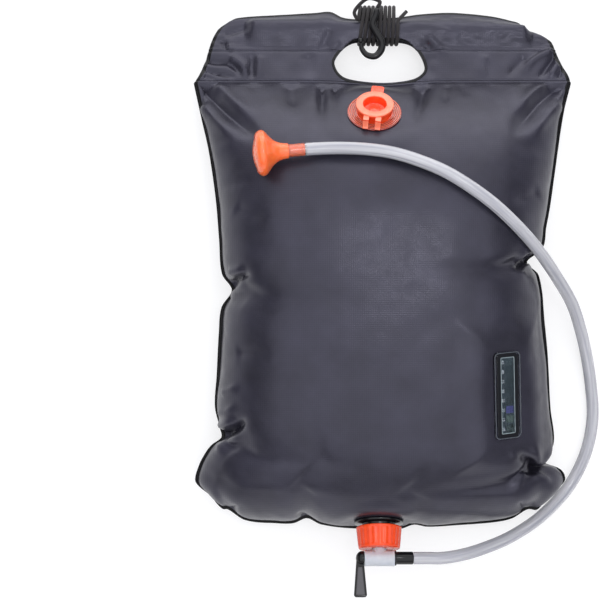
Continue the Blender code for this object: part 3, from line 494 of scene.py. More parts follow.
def windingPoints():
    points = []
    count = winding["turns"] * winding["turnPoints"]
    for number in range(count + 1):
        turn = number / winding["turnPoints"]
        angle = math.tau * turn + math.pi / 2
        lean = winding["lean"] * turn / winding["turns"] * math.cos(angle)
        x = winding["right"] - winding["spacing"] * turn + lean
        y = winding["up"] + winding["halfAcross"] * math.cos(angle)
        points.append(Vector((x, y, winding["halfUp"] * math.sin(angle))))
    radius, gap = winding["radius"], shop["gap"]
    tail = points[0] + Vector((2 * winding["spacing"], winding["halfAcross"] / 2, 0))
    eye, after = hookPoints(3)[:2]
    out = (eye - after).normalized()
    above, square = eye + out * (hook["radius"] + 2 * radius), eye + out * (gap + radius)
    last = points[-1]
    side = Vector((last.x - 2 * radius, (last.y + above.y) / 2, (last.z + eye.z) / 2))
    over = Vector(((side.x + above.x) / 2, above.y + 2 * radius, eye.z))
    lead = smoothCurve([last, side, over, above, square], steps=7)[1:]
    return [headerPlace @ point for point in [tail] + points + lead + [eye + out * gap]]


cordPoints = windingPoints()
cordPiece = addTube("hangingCord", cordPoints, lambda share: winding["radius"], winding["sides"])
print("camera and cords made")


def makeFold(line, wide, high):
    xs, ys = zip(*line)
    return {"line": line, "wide": wide, "high": high, "box": ((min(xs), min(ys)), (max(xs), max(ys)))}


def readFolds(*rows):
    found = []
    for wide, high, *spots in rows:
        line = smoothCurve([(x / 1000, y / 1000, 0) for x, y in zip(spots[::2], spots[1::2])], steps=4)
        found.append(makeFold([(point.x, point.y) for point in line], wide / 1000, high / 1000))
    return found


# Folds of the front film, seen from above: each runs along its line. A row holds its half width, its height
# and the places of its line, all in millimetres
folds = readFolds(
    (4.2, -7.5, -164, 18, -156, 25, -145.8, 30.7, -137, 33),
    (4, 4, -162, 34, -153, 36, -144, 38.5),
    (4.5, 3.8, -163, 8, -153, 16, -143, 21),
    (4.2, -7.5, 160, 52, 150.8, 50, 142, 44, 134, 33),
    (3.6, 4.2, 156, 59, 148, 57.5, 139, 51, 131.7, 40),
    (4.2, 3.8, 156, 40, 146, 39, 136, 29),
    (4.4, -10, -178, -144, -171.7, -140.3, -160.6, -134, -150.8, -123.8, -144, -113),
    (5, 5, -174, -130, -164, -124, -156, -115),
    (3.2, 3, -174, -115, -163, -112, -154, -101),
    (3.4, 3, -170, -93, -160, -89, -150, -82),
    (4.8, 5, -176, -156, -165, -147, -154, -138, -144, -131),
    (4.4, -9.5, 160, -174, 150, -165, 140, -159, 130, -156),
    (5, -5.5, 154.5, -170, 145.4, -158.2, 138, -148),
    (3.2, 4.6, 150, -166, 137, -159, 128.6, -150.4, 127.5, -141),
    (4.6, 6, 159, -166, 153.3, -150, 150, -140),
    (3, 4, 156, -172, 168.5, -161.3, 181.4, -145.2),
    (3, 3.6, 159, -176, 175, -176.5, 190.5, -177.6),
    (3, 3.4, 156, -178, 168, -183, 177.7, -187.6),
    (4.2, 4.4, 145, -176, 139, -185, 134, -196),
    (4.6, -6.2, -65.3, 238, -65.3, 220, -64, 190),
    (4, -5.4, -50.8, 238, -50.8, 218, -50, 188),
    (5.6, -7.6, 44.5, 238, 40, 220, 31, 196, 27, 180),
    (5, -2.6, 70, 238, 66, 224, 64, 208),
    (6, -3, -100, 238, -98, 223, -96, 206),
    (8.5, -7.5, -200.6, 238.6, -176, 213, -147.6, 187, -125, 168),
    (7, 4, -180, 238.6, -158, 215, -133, 193),
    (6.5, 4.2, -194, 216, -172, 190, -152, 170),
    (8, -7, 196, 239.7, 171.2, 222.6, 148.6, 197.2, 128.6, 173.4),
    (6.5, 4, 176, 239.7, 156, 222, 136, 202),
    (6, 4.2, 190, 218, 170, 195, 148, 172),
    (3, -3.8, -80.6, -234, -85, -225, -93, -218),
    (2.8, -3, 33.2, -240, 25.6, -232.2, 20, -228),
    (3.2, -3.4, 153.6, -222, 144.5, -210.7, 139, -206),
    (3.4, -3.4, -166.5, -226, -160, -216.5, -154, -211),
    (7, -2.2, -156, 102, -138, 94, -118, 90),
    (7.5, -2.2, -156, -50, -136, -48, -116, -53),
    (6, -2, 154, -55, 138, -60, 122, -57),
    (7, -2.4, 162, 118, 144, 110, 126, 112),
)
headerFolds = readFolds(
    (3.4, -5.2, -191.5, 266.4, -179.2, 264.5, -166.6, 263.5, -157.9, 257.7, -153, 249.9, -152.6, 243),
    (2.8, 3.6, -164.7, 269, -157.2, 265.2, -150, 258, -147.4, 249, -148.4, 242),
    (2.4, -3.4, -193.8, 255.8, -179.2, 251.9, -166.6, 249.9, -160.8, 247, -157, 240.2),
    (2.2, -2.6, -192.8, 248.9, -178.3, 245),
    (3.6, -3.6, -140.4, 271.2, -141.4, 244.1, -142, 240),
    (4, 2.2, -133, 271.2, -132.6, 243),
    (3.6, -2.2, -170.5, 293.6, -155, 299, -140.4, 303.3),
    (3, -3, -172.5, 286.9, -168.6, 275.1),
    (3, 2.2, -166, 283, -163, 275.1),
    (2.6, 4, 186.5, 277.5, 162, 264, 151.2, 247),
    (3, -4.2, 188, 271, 172, 250, 168, 244),
    (2.4, 3, 190, 262, 180, 245),
    (3.6, -3, 156, 270, 142, 256, 136, 244),
    (2.2, -2.6, 194, 256, 190, 244),
    (6, -2, -80, 272, -78, 260, -80, 243),
    (5, -2, 56, 272, 50, 260, 56, 243),
    (5, 2, 112, 272, 108, 260, 110, 243),
    (3, 3, 50, 292, 64, 278, 72, 270),
    (2.6, -3, 45, 286, 56, 274),
    (3.4, -2.6, -56, 300, -62, 286, -70, 272),
    (3, 2.4, -48, 286, -56, 274),
)
foldShape = {"reach": 3, "soft": 1.7, "startShare": 0.15, "startLeast": 0.25, "endShare": 0.45}


def foldHeight(group, x, y):
    total = 0.0
    for fold in group:
        points, wide = fold["line"], fold["wide"]
        reach = foldShape["reach"] * wide
        low, high = fold["box"]
        if not (low[0] - reach < x < high[0] + reach and low[1] - reach < y < high[1] + reach):
            continue
        best, spot, done = math.inf, 0.0, 0.0
        for (x0, y0), (x1, y1) in zip(points, points[1:]):
            dx, dy = x1 - x0, y1 - y0
            long = math.hypot(dx, dy)
            t = min(max(((x - x0) * dx + (y - y0) * dy) / long**2, 0.0), 1.0)
            away = math.hypot(x - x0 - t * dx, y - y0 - t * dy)
            if away < best:
                best, spot = away, done + t * long
            done += long
        share = spot / done
        starting = min(1.0, share / foldShape["startShare"] + foldShape["startLeast"])
        taper = eased(starting * min(1.0, (1 - share) / foldShape["endShare"]))
        total += fold["high"] * taper * math.exp(-((best / wide) ** foldShape["soft"]))
    return total


# Puckers where the weld gathers the film: each starts at the weld and fades inwards
random.seed(11)
puckers = []
gather = {"first": (0.004, 0.020), "skew": 0.45, "bow": 0.12, "start": 0.003, "wide": (0.0045, 0.0085)}


def addPuckers(line, gapRange, lengthRange, highRange):
    marks = lengthsAlong(line)
    spot, sign = random.uniform(*gather["first"]), 1
    while spot < marks[-1]:
        index = next(i for i in range(1, len(marks)) if marks[i] >= spot)
        part = (spot - marks[index - 1]) / (marks[index] - marks[index - 1])
        start = line[index - 1].lerp(line[index], part)
        way = (line[index] - line[index - 1]).normalized()
        inward = Vector((-way.y, way.x))
        skew = random.uniform(-gather["skew"], gather["skew"])
        length = random.uniform(*lengthRange)
        end = start + (inward + way * skew).normalized() * length
        middle = start.lerp(end, 0.5) + way * random.uniform(-gather["bow"], gather["bow"]) * length
        first = start - inward * gather["start"]
        points = [(p.x, p.y) for p in smoothCurve([(*p, 0) for p in (first, middle, end)], steps=3)]
        puckers.append(makeFold(points, random.uniform(*gather["wide"]), sign * random.uniform(*highRange)))
        sign = -sign
        spot += random.uniform(*gapRange)


seamSteps = [number / 80 for number in range(81)]
for seam, gaps, lengths, heights in (  # right, left, low and top, so that inwards is always on the left
    ([(1.0, share) for share in seamSteps], (0.022, 0.055), (0.020, 0.050), (0.0003, 0.0010)),
    ([(0.0, share) for share in reversed(seamSteps)], (0.022, 0.055), (0.020, 0.050), (0.0003, 0.0010)),
    ([(share, 0.0) for share in seamSteps], (0.024, 0.055), (0.008, 0.016), (0.0003, 0.0007)),
    ([(share, 1.0) for share in reversed(seamSteps)], (0.012, 0.030), (0.020, 0.056), (0.0005, 0.0014)),
):
    addPuckers([pouchPoint(across, along, 1).to_2d() for across, along in seam], gaps, lengths, heights)

# Puckers and the hose are looked up by squares, to keep the film quick to make
cellSize = 0.020


def cellOf(x, y):
    return math.floor(x / cellSize), math.floor(y / cellSize)


puckerCells = {}
for pucker in puckers:
    reach = foldShape["reach"] * pucker["wide"]
    (lowX, lowY), (highX, highY) = pucker["box"]
    firstI, firstJ = cellOf(lowX - reach, lowY - reach)
    lastI, lastJ = cellOf(highX + reach, highY + reach)
    for i in range(firstI, lastI + 1):
        for j in range(firstJ, lastJ + 1):
            puckerCells.setdefault((i, j), []).append(pucker)
hoseCells = {}
for point in hosePoints:
    hoseCells.setdefault(cellOf(point.x, point.y), []).append(point)

# Waves, sags and creases of the films. A wave is its height, its scales across and up, and its noise's layer
drape = {
    "seam": ((0.0014, 22, 22, 3.1), (0.00056, 60, 60, 8.3)),
    "quietX": 0.050, "quietY": 0.20, "quietFade": 0.03,
    "belly": ((0.0016, 13, 13, 0.7), (0.0006, 38, 38, 4.2)),
    "sleeve": ((0.0010, 120, 210, 5.0), (0.0010, 34, 60, 1.0)),
    "sleeveLow": 0.040, "sleeveHigh": 0.080, "lumpX": 0.04, "lumpFade": 0.03, "lumpLeast": 0.35,
    "sagX": -0.001, "sagY": 0.2425, "lobe": 0.026, "crease": 0.0375, "seamBand": 0.0028,
    "dropFrom": 0.0785, "dropOver": 0.0038, "dropShare": 0.6,
}
sags = ((0.0042, 0.034, 0.018), (0.0018, math.inf, 0.026))  # depth, reach across and reach up
headerGrooves = (  # where along the header, half width, height
    (0.0009, 0.0008, 0.0009), (0.0027, 0.0008, -0.0010), (0.0372, 0.0010, -0.0013), (0.0388, 0.0012, 0.0007),
)


def waves(kind, x, y, shift=0.0):
    return [
        high * noise.noise(Vector((x * across, y * up, layer + shift)))
        for high, across, up, layer in drape[kind]
    ]


def seamWave(x, y):  # how far the weld rises and falls, for both films alike
    calm = y > drape["quietY"]  # along the header's middle
    quiet = min(max(abs(x) - drape["quietX"], 0.0) / drape["quietFade"], 1.0) if calm else 1.0
    return sum(waves("seam", x, y)) * quiet


def dipped(point):  # the film sags a little round the handle hole's low edge
    for deep, across, up in sags:
        near = math.exp(-(((point.x - drape["sagX"]) / across) ** 2))
        point.y -= deep * near * math.exp(-(((point.y - drape["sagY"]) / up) ** 2))
    return point


def cornerShift(reach, sideways, upward):  # how far a square corner's point moves in to lie on a round one
    a, b = min(1 - sideways / reach, 1.0), min(1 - upward / reach, 1.0)
    return reach * (a - a * math.sqrt(1 - b * b / 2)), reach * (b - b * math.sqrt(1 - a * a / 2))


def rounded(point, across, along):  # turns the pouch's square low corners into lobes
    left, right = sideEdges(along)
    sideways = point.x - left if across < 0.5 else right - point.x
    upward = point.y + bag["length"] / 2 * readTable(bag["low"], across)
    if sideways < drape["lobe"] and upward < drape["lobe"]:
        shiftX, shiftY = cornerShift(drape["lobe"], sideways, upward)
        point.x += shiftX if across < 0.5 else -shiftX
        point.y += shiftY
    return point


def pastPatch(local, halfWidth, halfLength):  # how far past a patch, a round one where its halves are alike
    if halfWidth == halfLength:
        return max(math.hypot(local.x, local.y) - halfWidth, 0.0)
    return max(abs(local.x) - halfWidth, abs(local.y) - halfLength, 0.0)


def pressFlat(point, place, halfWidth, halfLength, fade):
    local = place.inverted() @ point
    share = max(0.0, 1 - pastPatch(local, halfWidth, halfLength) / fade)
    if share > 0 and abs(local.z) < fade:
        local.z *= 1 - eased(share)
        return place @ local
    return point


def fitToPieces(point):
    room, spout = fittings["room"], fittings["spoutFlange"]
    flange = fittings["flangeRadius"] + room
    point = pressFlat(point, portPlace, flange, flange, fittings["flangeRadius"])
    point = pressFlat(point, outletPlace, spout, spout, spout)
    halfWidth, halfLength = fittings["pocketWidth"] / 2 + room, fittings["pocketLength"] / 2 + room
    return pressFlat(point, pocketPlace, halfWidth, halfLength, fittings["pocketWidth"])


patches = (  # where the film lies flat under a fitting: half width and half length
    (portPlace, fittings["portPatch"], fittings["portPatch"]),
    (outletPlace, fittings["outletPatch"], fittings["outletPatch"]),
    (
        pocketPlace, fittings["pocketWidth"] / 2 + fittings["pocketPatch"],
        fittings["pocketLength"] / 2 + fittings["pocketPatch"],
    ),
)


def nearFitting(point):  # 1 on a fitting's patch of film, down to 0 away from it
    found = 0.0
    for place, halfWidth, halfLength in patches:
        local = place.inverted() @ point
        if abs(local.z) < fittings["patchDeep"]:
            past = pastPatch(local, halfWidth, halfLength)
            found = max(found, 1 - min(past / fittings["patchFade"], 1.0))
    return found


def headerSides(share):
    half = bag["width"] / 2
    return -half * readTable(bag["headerLeft"], share), half * readTable(bag["headerRight"], share)


def rodSpan(x):  # 1 over the rod, 0 past its ends
    past = (abs(x - bag["rodMiddle"]) - bag["rodHalf"] + bag["rodInside"]) / bag["rodFade"]
    return eased(1 - min(max(past, 0.0), 1.0))


def headerLocal(column, edge, place, side):  # edge: how far out of the strip's inner line, in metres
    height, strip, crease = bag["headerHeight"], bag["strip"], drape["crease"]
    top = height * readTable(bag["headerTop"], column)
    left, right = headerSides(min(place / height, 1.0))
    x = left + strip + (right - left - 2 * strip) * column + edge
    up = place if place < crease else crease + (place - crease) * (top - crease) / (height - crease)
    middle = bag["rodUp"] + (x - bag["rodMiddle"]) * bag["rodTilt"]
    away = up - middle
    low, high = middle - crease, max(top - drape["seamBand"] - middle, bag["rodLeast"])
    ratio = min(abs(away) / (low if away < 0 else high), 1.0)
    mound = (0.5 + 0.5 * math.cos(math.pi * ratio)) ** bag["moundPowers"][0 if away < 0 else 1]
    lift = 0.0 if up > top - drape["seamBand"] else bag["sleeveUp"] * mound * rodSpan(x)
    corner = bag["cornerLeft"] if column < 0.5 else bag["cornerRight"]
    sideways = x - left if column < 0.5 else right - x
    if sideways < corner and top - up < corner:
        shift, drop = cornerShift(corner, sideways, top - up)
        x += shift if column < 0.5 else -shift
        up -= drop
    return Vector((x, up, side * (lift + bag["seamGap"])))


# Rows of the header's grid: close together at the crease, the sleeve's seam and the top
headerMarks = {
    "crease": (0.0006, 0.0013, 0.0020, 0.0027, 0.0034, 0.0042, 0.0052), "step": 0.0019, "seamFrom": 0.0340,
    "seam": (0.0358, 0.0368, 0.0375, 0.0382, 0.0390, 0.0402, 0.0418), "sleeveStep": 0.0013, "topFrom": 0.0780,
    "top": (0.0794, 0.0800, 0.0806, 0.0814),
}


def headerRows():
    marks = list(headerMarks["crease"])
    while marks[-1] < headerMarks["seamFrom"]:
        marks.append(marks[-1] + headerMarks["step"])
    marks += headerMarks["seam"]
    while marks[-1] < headerMarks["topFrom"]:
        marks.append(marks[-1] + headerMarks["sleeveStep"])
    return marks + [*headerMarks["top"], bag["headerHeight"]]


def evenShares(line, count):  # shares that cut a line into even lengths
    samples = 1500
    marks = lengthsAlong([line(index / samples) for index in range(samples + 1)])
    shares, spot = [0.0], 0
    for number in range(1, count):
        wanted = marks[-1] * number / count
        while marks[spot + 1] < wanted:
            spot += 1
        shares.append((spot + (wanted - marks[spot]) / (marks[spot + 1] - marks[spot])) / samples)
    return shares + [1.0]


def filmRows(side, columnCount, rowCount):  # points of one sheet, row by row, and which of them may move
    strip = bag["strip"]
    columns = evenShares(lambda share: pouchPoint(share, 0.5, side, strip), columnCount)
    lengths = evenShares(lambda share: pouchPoint(0.5, share, side, strip), rowCount)
    edgeSteps = list(zip(bag["weldSteps"], bag["weldGroove"]))
    steps = [(0.0, step - strip, groove) for step, groove in edgeSteps]
    steps += [(share, 0.0, 0.0) for share in columns]
    steps += [(1.0, strip - step, groove) for step, groove in reversed(edgeSteps)]
    out = headerPlace.col[2].to_3d()

    def stripPoint(across, along, edge, down, groove):
        point = pouchPoint(across, along, side, strip)
        point.x += edge
        point.y -= down
        reach = max(abs(edge), down) / strip
        point.z = seamHeight(along) + side * (bag["seamGap"] + groove) - bag["stripDrop"] * reach**1.5
        point.z += seamWave(point.x, point.y)
        return dipped(rounded(point, across, along))

    def headerPoint(share, edge, groove, place):
        local = headerLocal(share, edge, place, side)
        seam = sum(high * math.exp(-(((place - at) / wide) ** 2)) for at, wide, high in headerGrooves)
        local.z += side * (groove + seam) - bag["stripDrop"] * (abs(edge) / strip) ** 1.5
        if place > drape["dropFrom"]:
            local.z -= bag["stripDrop"] * drape["dropShare"] * (place - drape["dropFrom"]) / drape["dropOver"]
        point = headerPlace @ local
        point.z += seamWave(point.x, point.y)
        point += out * foldHeight(headerFolds, point.x, point.y)
        if side > 0 and place > drape["sleeveLow"]:
            part = (place - drape["sleeveLow"]) / (drape["sleeveHigh"] - drape["sleeveLow"])
            body = math.sin(math.pi * min(max(part, 0.0), 1.0)) ** 0.5
            lump = min(max((local.x - drape["lumpX"]) / drape["lumpFade"], 0.0), 1.0)
            lump = drape["lumpLeast"] + (1 - drape["lumpLeast"]) * lump
            fine, slow = waves("sleeve", local.x, local.y)
            point += out * body * (fine * lump + slow)
        return dipped(point)

    rows, free = [], []
    for step, groove in edgeSteps:
        rows.append([
            stripPoint(share, 0.0, edge, strip - step, min(groove, other)) for share, edge, other in steps
        ])
        free.append([False] * len(steps))
    for along in lengths:
        row, loose = [], []
        for share, edge, groove in steps:
            loose.append(not (edge or share in (0.0, 1.0) or along in (0.0, 1.0)))
            if loose[-1]:
                row.append(dipped(rounded(pouchPoint(share, along, side, strip), share, along)))
            else:
                row.append(stripPoint(share, along, edge, 0.0, groove))
        rows.append(row)
        free.append(loose)
    for place in headerRows():
        rows.append([headerPoint(share, edge, groove, place) for share, edge, groove in steps])
        free.append([False] * len(steps))
    return rows, free


def underHose(point):  # the hose presses the film down where it lies on it
    room = hose["radius"] + bag["wall"] + hose["lift"]
    i, j = cellOf(point.x, point.y)
    near = [p for di in (-1, 0, 1) for dj in (-1, 0, 1) for p in hoseCells.get((i + di, j + dj), ())]
    if near:
        closest = min(near, key=lambda p: (p - point).length_squared)
        flat = (point - closest).to_2d().length
        if flat < room and point.z > closest.z - math.sqrt(room**2 - flat**2):
            point.z = closest.z - math.sqrt(room**2 - flat**2)
    return point


def shapeFilm(rows, free, side):  # adds folds, puckers and soft waves along the sheet's own outward direction
    shaped = [[point.copy() for point in row] for row in rows]
    weldCells = len(bag["weldSteps"])
    pouchEnd = len(rows) - len(headerRows()) - 1
    for r in range(1, len(rows) - 1):
        lastColumn = len(rows[r]) - 1
        for c in range(1, lastColumn):
            if not free[r][c]:
                continue
            point = rows[r][c]
            out = (rows[r][c + 1] - rows[r][c - 1]).cross(rows[r + 1][c] - rows[r - 1][c]).normalized()
            out *= 1 if side > 0 else -1
            push = sum(waves("belly", point.x, point.y, side))
            if side > 0:
                push += foldHeight(folds, point.x, point.y)
            push += foldHeight(puckerCells.get(cellOf(point.x, point.y), ()), point.x, point.y)
            inside = min(r - weldCells + 1, pouchEnd - r, c - weldCells + 1, lastColumn - weldCells + 1 - c)
            near = max(min(1.0, inside / 3), 0.0)
            moved = point + out * push * near * (1 - nearFitting(point))
            if side > 0:
                moved = underHose(fitToPieces(moved))
            else:
                moved.z = max(moved.z, bag["wall"] + bag["floorGap"])
            shaped[r][c] = moved
    return shaped


def addFilm(name, side, columnCount, rowCount):
    shaped = shapeFilm(*filmRows(side, columnCount, rowCount), side)
    down, across = len(shaped), len(shaped[0])
    bpy.ops.object.select_all(action="DESELECT")
    bpy.ops.mesh.primitive_grid_add(x_subdivisions=across - 1, y_subdivisions=down - 1, size=1)
    sheet = bpy.context.object
    sheet.name = name
    mesh = sheet.data
    spots = [vertex.co.copy() for vertex in mesh.vertices]
    order = sorted(range(len(spots)), key=lambda i: (round(spots[i].y, 5), spots[i].x))
    for index, point in zip(order, (point for row in shaped for point in row)):
        mesh.vertices[index].co = point
    mesh.update()
    rank = {index: spot for spot, index in enumerate(order)}
    strip = len(bag["weldSteps"])
    for face in mesh.polygons:  # the weld's strip has its own finish, darkened with painted shade
        places = [divmod(rank[index], across) for index in face.vertices]
        inStrip = all(
            column <= strip or column >= across - strip - 1 or row <= strip or row >= down - strip + 1
            for row, column in places
        )
        face.material_index = 1 if inStrip else 0
    if side < 0:
        mesh.flip_normals()
    return sheet


film = {"columns": 150, "rows": 190, "backColumns": 84, "backRows": 110}
frontSheet = addFilm("frontFilm", 1, film["columns"], film["rows"])
backSheet = addFilm("backFilm", -1, film["backColumns"], film["backRows"])
print("film sheets shaped", len(frontSheet.data.vertices), len(backSheet.data.vertices))

# Materials
# Black vinyl film, calendered: a satin face with a fine pebble and slow crinkles that break up the
# reflections. Its faint ribs come from the fabric belt it was pressed on: about 0.9 mm apart, drawn at 2.2 mm
# so that they show
ribPitch = 0.0022
blackFilm, tree, shader = startMaterial(
    "blackFilm", Roughness=0.34, Specular_IOR_Level=0.50, Specular_Tint=(0.82, 0.81, 1.0, 1.0)
)
spot = addNode(tree, "TexCoord").outputs["Object"]
stain = addNode(tree, "TexNoise", {"Vector": spot, "Scale": 22, "Detail": 5, "Roughness": 0.6})
tint = addNode(tree, "ValToRGB", {"Fac": stain.outputs["Fac"]}, stops=((0.35, "#201f27"), (0.72, "#2b2a35")))
tree.links.new(tint.outputs["Color"], shader.inputs["Base Color"])
haze = addNode(tree, "TexNoise", {"Vector": spot, "Scale": 75, "Detail": 6, "Roughness": 0.65})
span = {"From Min": 0.3, "From Max": 0.7, "To Min": 0.28, "To Max": 0.40}
gloss = addNode(tree, "MapRange", {"Value": haze.outputs["Fac"], **span})
tree.links.new(gloss.outputs["Result"], shader.inputs["Roughness"])
pebble = addNode(tree, "TexNoise", {"Vector": spot, "Scale": 1300, "Detail": 2})
crinkle = addNode(tree, "TexNoise", {"Vector": spot, "Scale": 40, "Detail": 2, "Roughness": 0.4})
ribs = [
    addNode(
        tree, "TexWave",
        {"Vector": spot, "Scale": math.tau / (20 * ribPitch), "Distortion": 0.6, "Detail Scale": 3.0},
        bands_direction=way,
    ).outputs["Fac"]
    for way in ("X", "Y")
]
weave = addNode(tree, "Math", {0: ribs[0], 1: ribs[1]}, operation="ADD")
bump = addNode(tree, "Bump", {"Height": pebble.outputs["Fac"], "Strength": 0.35, "Distance": 0.00012})
for lift, high, deep in ((weave.outputs["Value"], 0.5, 0.00007), (crinkle.outputs["Fac"], 0.35, 0.0016)):
    values = {"Height": lift, "Strength": high, "Distance": deep, "Normal": bump.outputs["Normal"]}
    bump = addNode(tree, "Bump", values)
tree.links.new(bump.outputs["Normal"], shader.inputs["Normal"])

# Welded film: pressed smooth between hot bars, so it is shinier than the rest; its blacker colour is painted
# shade, standing for the shade along the weld's cut edge
weldFilmPaintedShade = mottled(
    "weldFilmPaintedShade", (420, 4), ("#060608", "#101013"), bump=(0.4, 0.0003), Roughness=0.26, Specular_IOR_Level=0.22
)

# Orange vinyl of the fill port's neck and straps, moulded soft and a little see-through: it glows from within
orangeVinyl = mottled(
    "orangeVinyl", (160, 3), ("#f0401a", "#ff5a2a"), bump=(0.25, 0.0002), skin=(420, 2),
    Roughness=0.24, Coat_Weight=0.4, Coat_Roughness=0.10,
    Subsurface_Weight=0.6, Subsurface_Radius=(0.006, 0.0018, 0.0008), Subsurface_Scale=1.0,
)

# The flange is the same vinyl 1 mm thin over black film: nearly clear, so the film shows through, and its
# base colour is darkened further as painted shade, so that it reads brown-red. Its pink glints come from the
# coat and from painted highlights on the ridges' tops
flangeVinylPaintedShade = mottled(
    "flangeVinylPaintedShade", (140, 3), ("#a82a18", "#c8442e"), bump=(0.3, 0.0004),
    Roughness=0.12, Transmission_Weight=0.6, IOR=1.45, Coat_Weight=0.6, Coat_IOR=1.5, Coat_Roughness=0.06,
)

# Painted highlight: a pale peach copy of the vinyl for the cap's rim, the straps' upper ends and outer sides
# and the flange's ridge tops, standing for the sheen where they catch the light
paintedHighlightVinyl = mottled(
    "paintedHighlightVinyl", (170, 3), ("#f96f4d", "#ff8e6d"), bump=(0.2, 0.0003),
    Roughness=0.3, Coat_Weight=0.5, Coat_IOR=1.5, Coat_Roughness=0.2,
    Subsurface_Weight=0.4, Subsurface_Radius=(0.005, 0.0025, 0.0015),
)

# The cap is the same vinyl in a thicker moulding: full orange, with a soft sheen
capVinyl = mottled(
    "capVinyl", (190, 3), ("#f54016", "#ff5526"), bump=(0.2, 0.0003),
    Roughness=0.3, Coat_Weight=0.5, Coat_IOR=1.5, Coat_Roughness=0.15,
    Subsurface_Weight=0.35, Subsurface_Radius=(0.005, 0.0018, 0.001), Subsurface_Scale=1.0,
)

# Orange collar plastic, injection moulded: satin, with the faint flow marks of the mould
orangePlastic = mottled(
    "orangePlastic", (90, 4, 1.0), ("#e83e12", "#fb5420"), bump=(0.3, 0.00012), skin=(900, 2),
    Roughness=0.27, Specular_IOR_Level=0.4, Subsurface_Weight=0.12, Subsurface_Radius=(0.003, 0.001, 0.0005),
)

# Orange of the shower head: the same plastic, thinner and paler, with a polished face
headPlastic = mottled(
    "headPlastic", (120, 3), ("#f8602a", "#ff7a36"), bump=(0.2, 0.0002), skin=(300, 2),
    Roughness=0.3, Coat_Weight=0.6, Coat_IOR=1.5, Coat_Roughness=0.16,
    Subsurface_Weight=0.4, Subsurface_Radius=(0.006, 0.0025, 0.001),
)

# Black moulded plastic, glossy: dark with sharp highlights, a little dust in its shine and slight sink marks
blackPlastic = mottled(
    "blackPlastic", (260, 5), ("#0b0b0d", "#17171a"), bump=(0.2, 0.0003), skin=(150, 1), gloss=(0.10, 0.22),
    Roughness=0.16, Specular_IOR_Level=0.3,
)

# Lever's sunk face: the same black plastic with a spark-eroded matt face; its grey base colour is a painted
# sheen, standing for how that face reads under the lamp
leverPaintedSheen = mottled("leverPaintedSheen", (1500, 2), ("#3a383c", "#525055"), bump=(0.4, 0.0001), Roughness=0.42)

# Milky polypropylene of the tap body: light passes in and scatters, with clearer thin rims
milkyPlastic = mottled(
    "milkyPlastic", (210, 3), ("#cfd4de", "#eceef3"), bump=(0.15, 0.0003),
    Roughness=0.28, Transmission_Weight=0.35, IOR=1.45,
    Subsurface_Weight=0.4, Subsurface_Radius=(0.004, 0.004, 0.005),
)

# Clear vinyl hose, extruded: slightly hazy, with long faint die lines and a soft wobble in its shine. Over
# the head's tail it is clear, so that the orange shows through
hoseVinyl, tree, shader = startMaterial("hoseVinyl", Roughness=0.09, Transmission_Weight=0.45, IOR=1.45)
along = addNode(tree, "UVMap", uv_map="alongCord").outputs["UV"]
lines = addNode(tree, "Mapping", {"Vector": along, "Scale": (9, 8, 1)})
die = addNode(tree, "TexNoise", {"Vector": lines.outputs["Vector"], "Scale": 1.0, "Detail": 3})
tint = addNode(tree, "ValToRGB", {"Fac": die.outputs["Fac"]}, stops=((0.30, "#b4b5c0"), (0.60, "#e6e6eb")))
bump = addNode(tree, "Bump", {"Height": die.outputs["Fac"], "Strength": 0.35, "Distance": 0.0008})
tree.links.new(bump.outputs["Normal"], shader.inputs["Normal"])
reached = addNode(tree, "SeparateXYZ", {"Vector": along}).outputs["Y"]
span = {"Value": reached, "From Min": 0.7990, "From Max": 0.8015}
passing = addNode(tree, "MapRange", {**span, "To Min": 0.45, "To Max": 0.97})
tree.links.new(passing.outputs["Result"], shader.inputs["Transmission Weight"])
clear = addNode(tree, "MapRange", {**span, "To Min": 0.0, "To Max": 1.0})
blend = {"Fac": clear.outputs["Result"], "Color1": tint.outputs["Color"], "Color2": fromHex("#ffffff")}
tree.links.new(addNode(tree, "MixRGB", blend).outputs["Color"], shader.inputs["Base Color"])

# Clear pocket film, welded on: glassy, with a slight ripple
pocketVinyl = mottled(
    "pocketVinyl", (130, 2), ("#e4e8ee", "#f6f8fb"), bump=(0.35, 0.0006),
    Roughness=0.14, Transmission_Weight=1.0, IOR=1.22,
)

# Edge of the pocket, where the clear film is welded down: its pale grey-teal is a painted highlight along the
# weld
pocketEdgePaintedHighlight = mottled("pocketEdgePaintedHighlight", (500, 3), ("#3a4048", "#5d636c"), Roughness=0.3)

# Card with liquid crystal cells behind one clear window, in a black printed frame: dull grey-green, with the
# cell that reads the water's warmth in violet blue
cardInk, tree, shader = startMaterial("cardInk", Roughness=0.3)
cellShades = ("#3f4a49", "#55655f", "#4d4f80", "#364043", "#333e42", "#364245", "#39464a", "#48555a")
spot = addNode(tree, "SeparateXYZ", {"Vector": addNode(tree, "UVMap", uv_map="cardPlan").outputs["UV"]})
stops = [(place / len(cellShades), code) for place, code in enumerate(cellShades)]
shades = addNode(tree, "ValToRGB", {"Fac": spot.outputs["Y"]}, stops=stops)
shades.color_ramp.interpolation = "CONSTANT"
inColumn = addNode(tree, "Math", {0: spot.outputs["X"], 1: 0.62, 2: 0.23}, operation="COMPARE")
counted = addNode(tree, "Math", {0: spot.outputs["Y"], 1: float(len(cellShades))}, operation="MULTIPLY")
inRow = addNode(tree, "Math", {0: counted.outputs["Value"]}, operation="FRACT")
inCell = addNode(tree, "Math", {0: inRow.outputs["Value"], 1: 0.5, 2: 0.37}, operation="COMPARE")
cell = addNode(tree, "Math", {0: inCell.outputs["Value"], 1: inColumn.outputs["Value"]}, operation="MULTIPLY")
onCard = addNode(tree, "TexCoord").outputs["Object"]
speck = addNode(tree, "TexNoise", {"Vector": onCard, "Scale": 500, "Detail": 4})
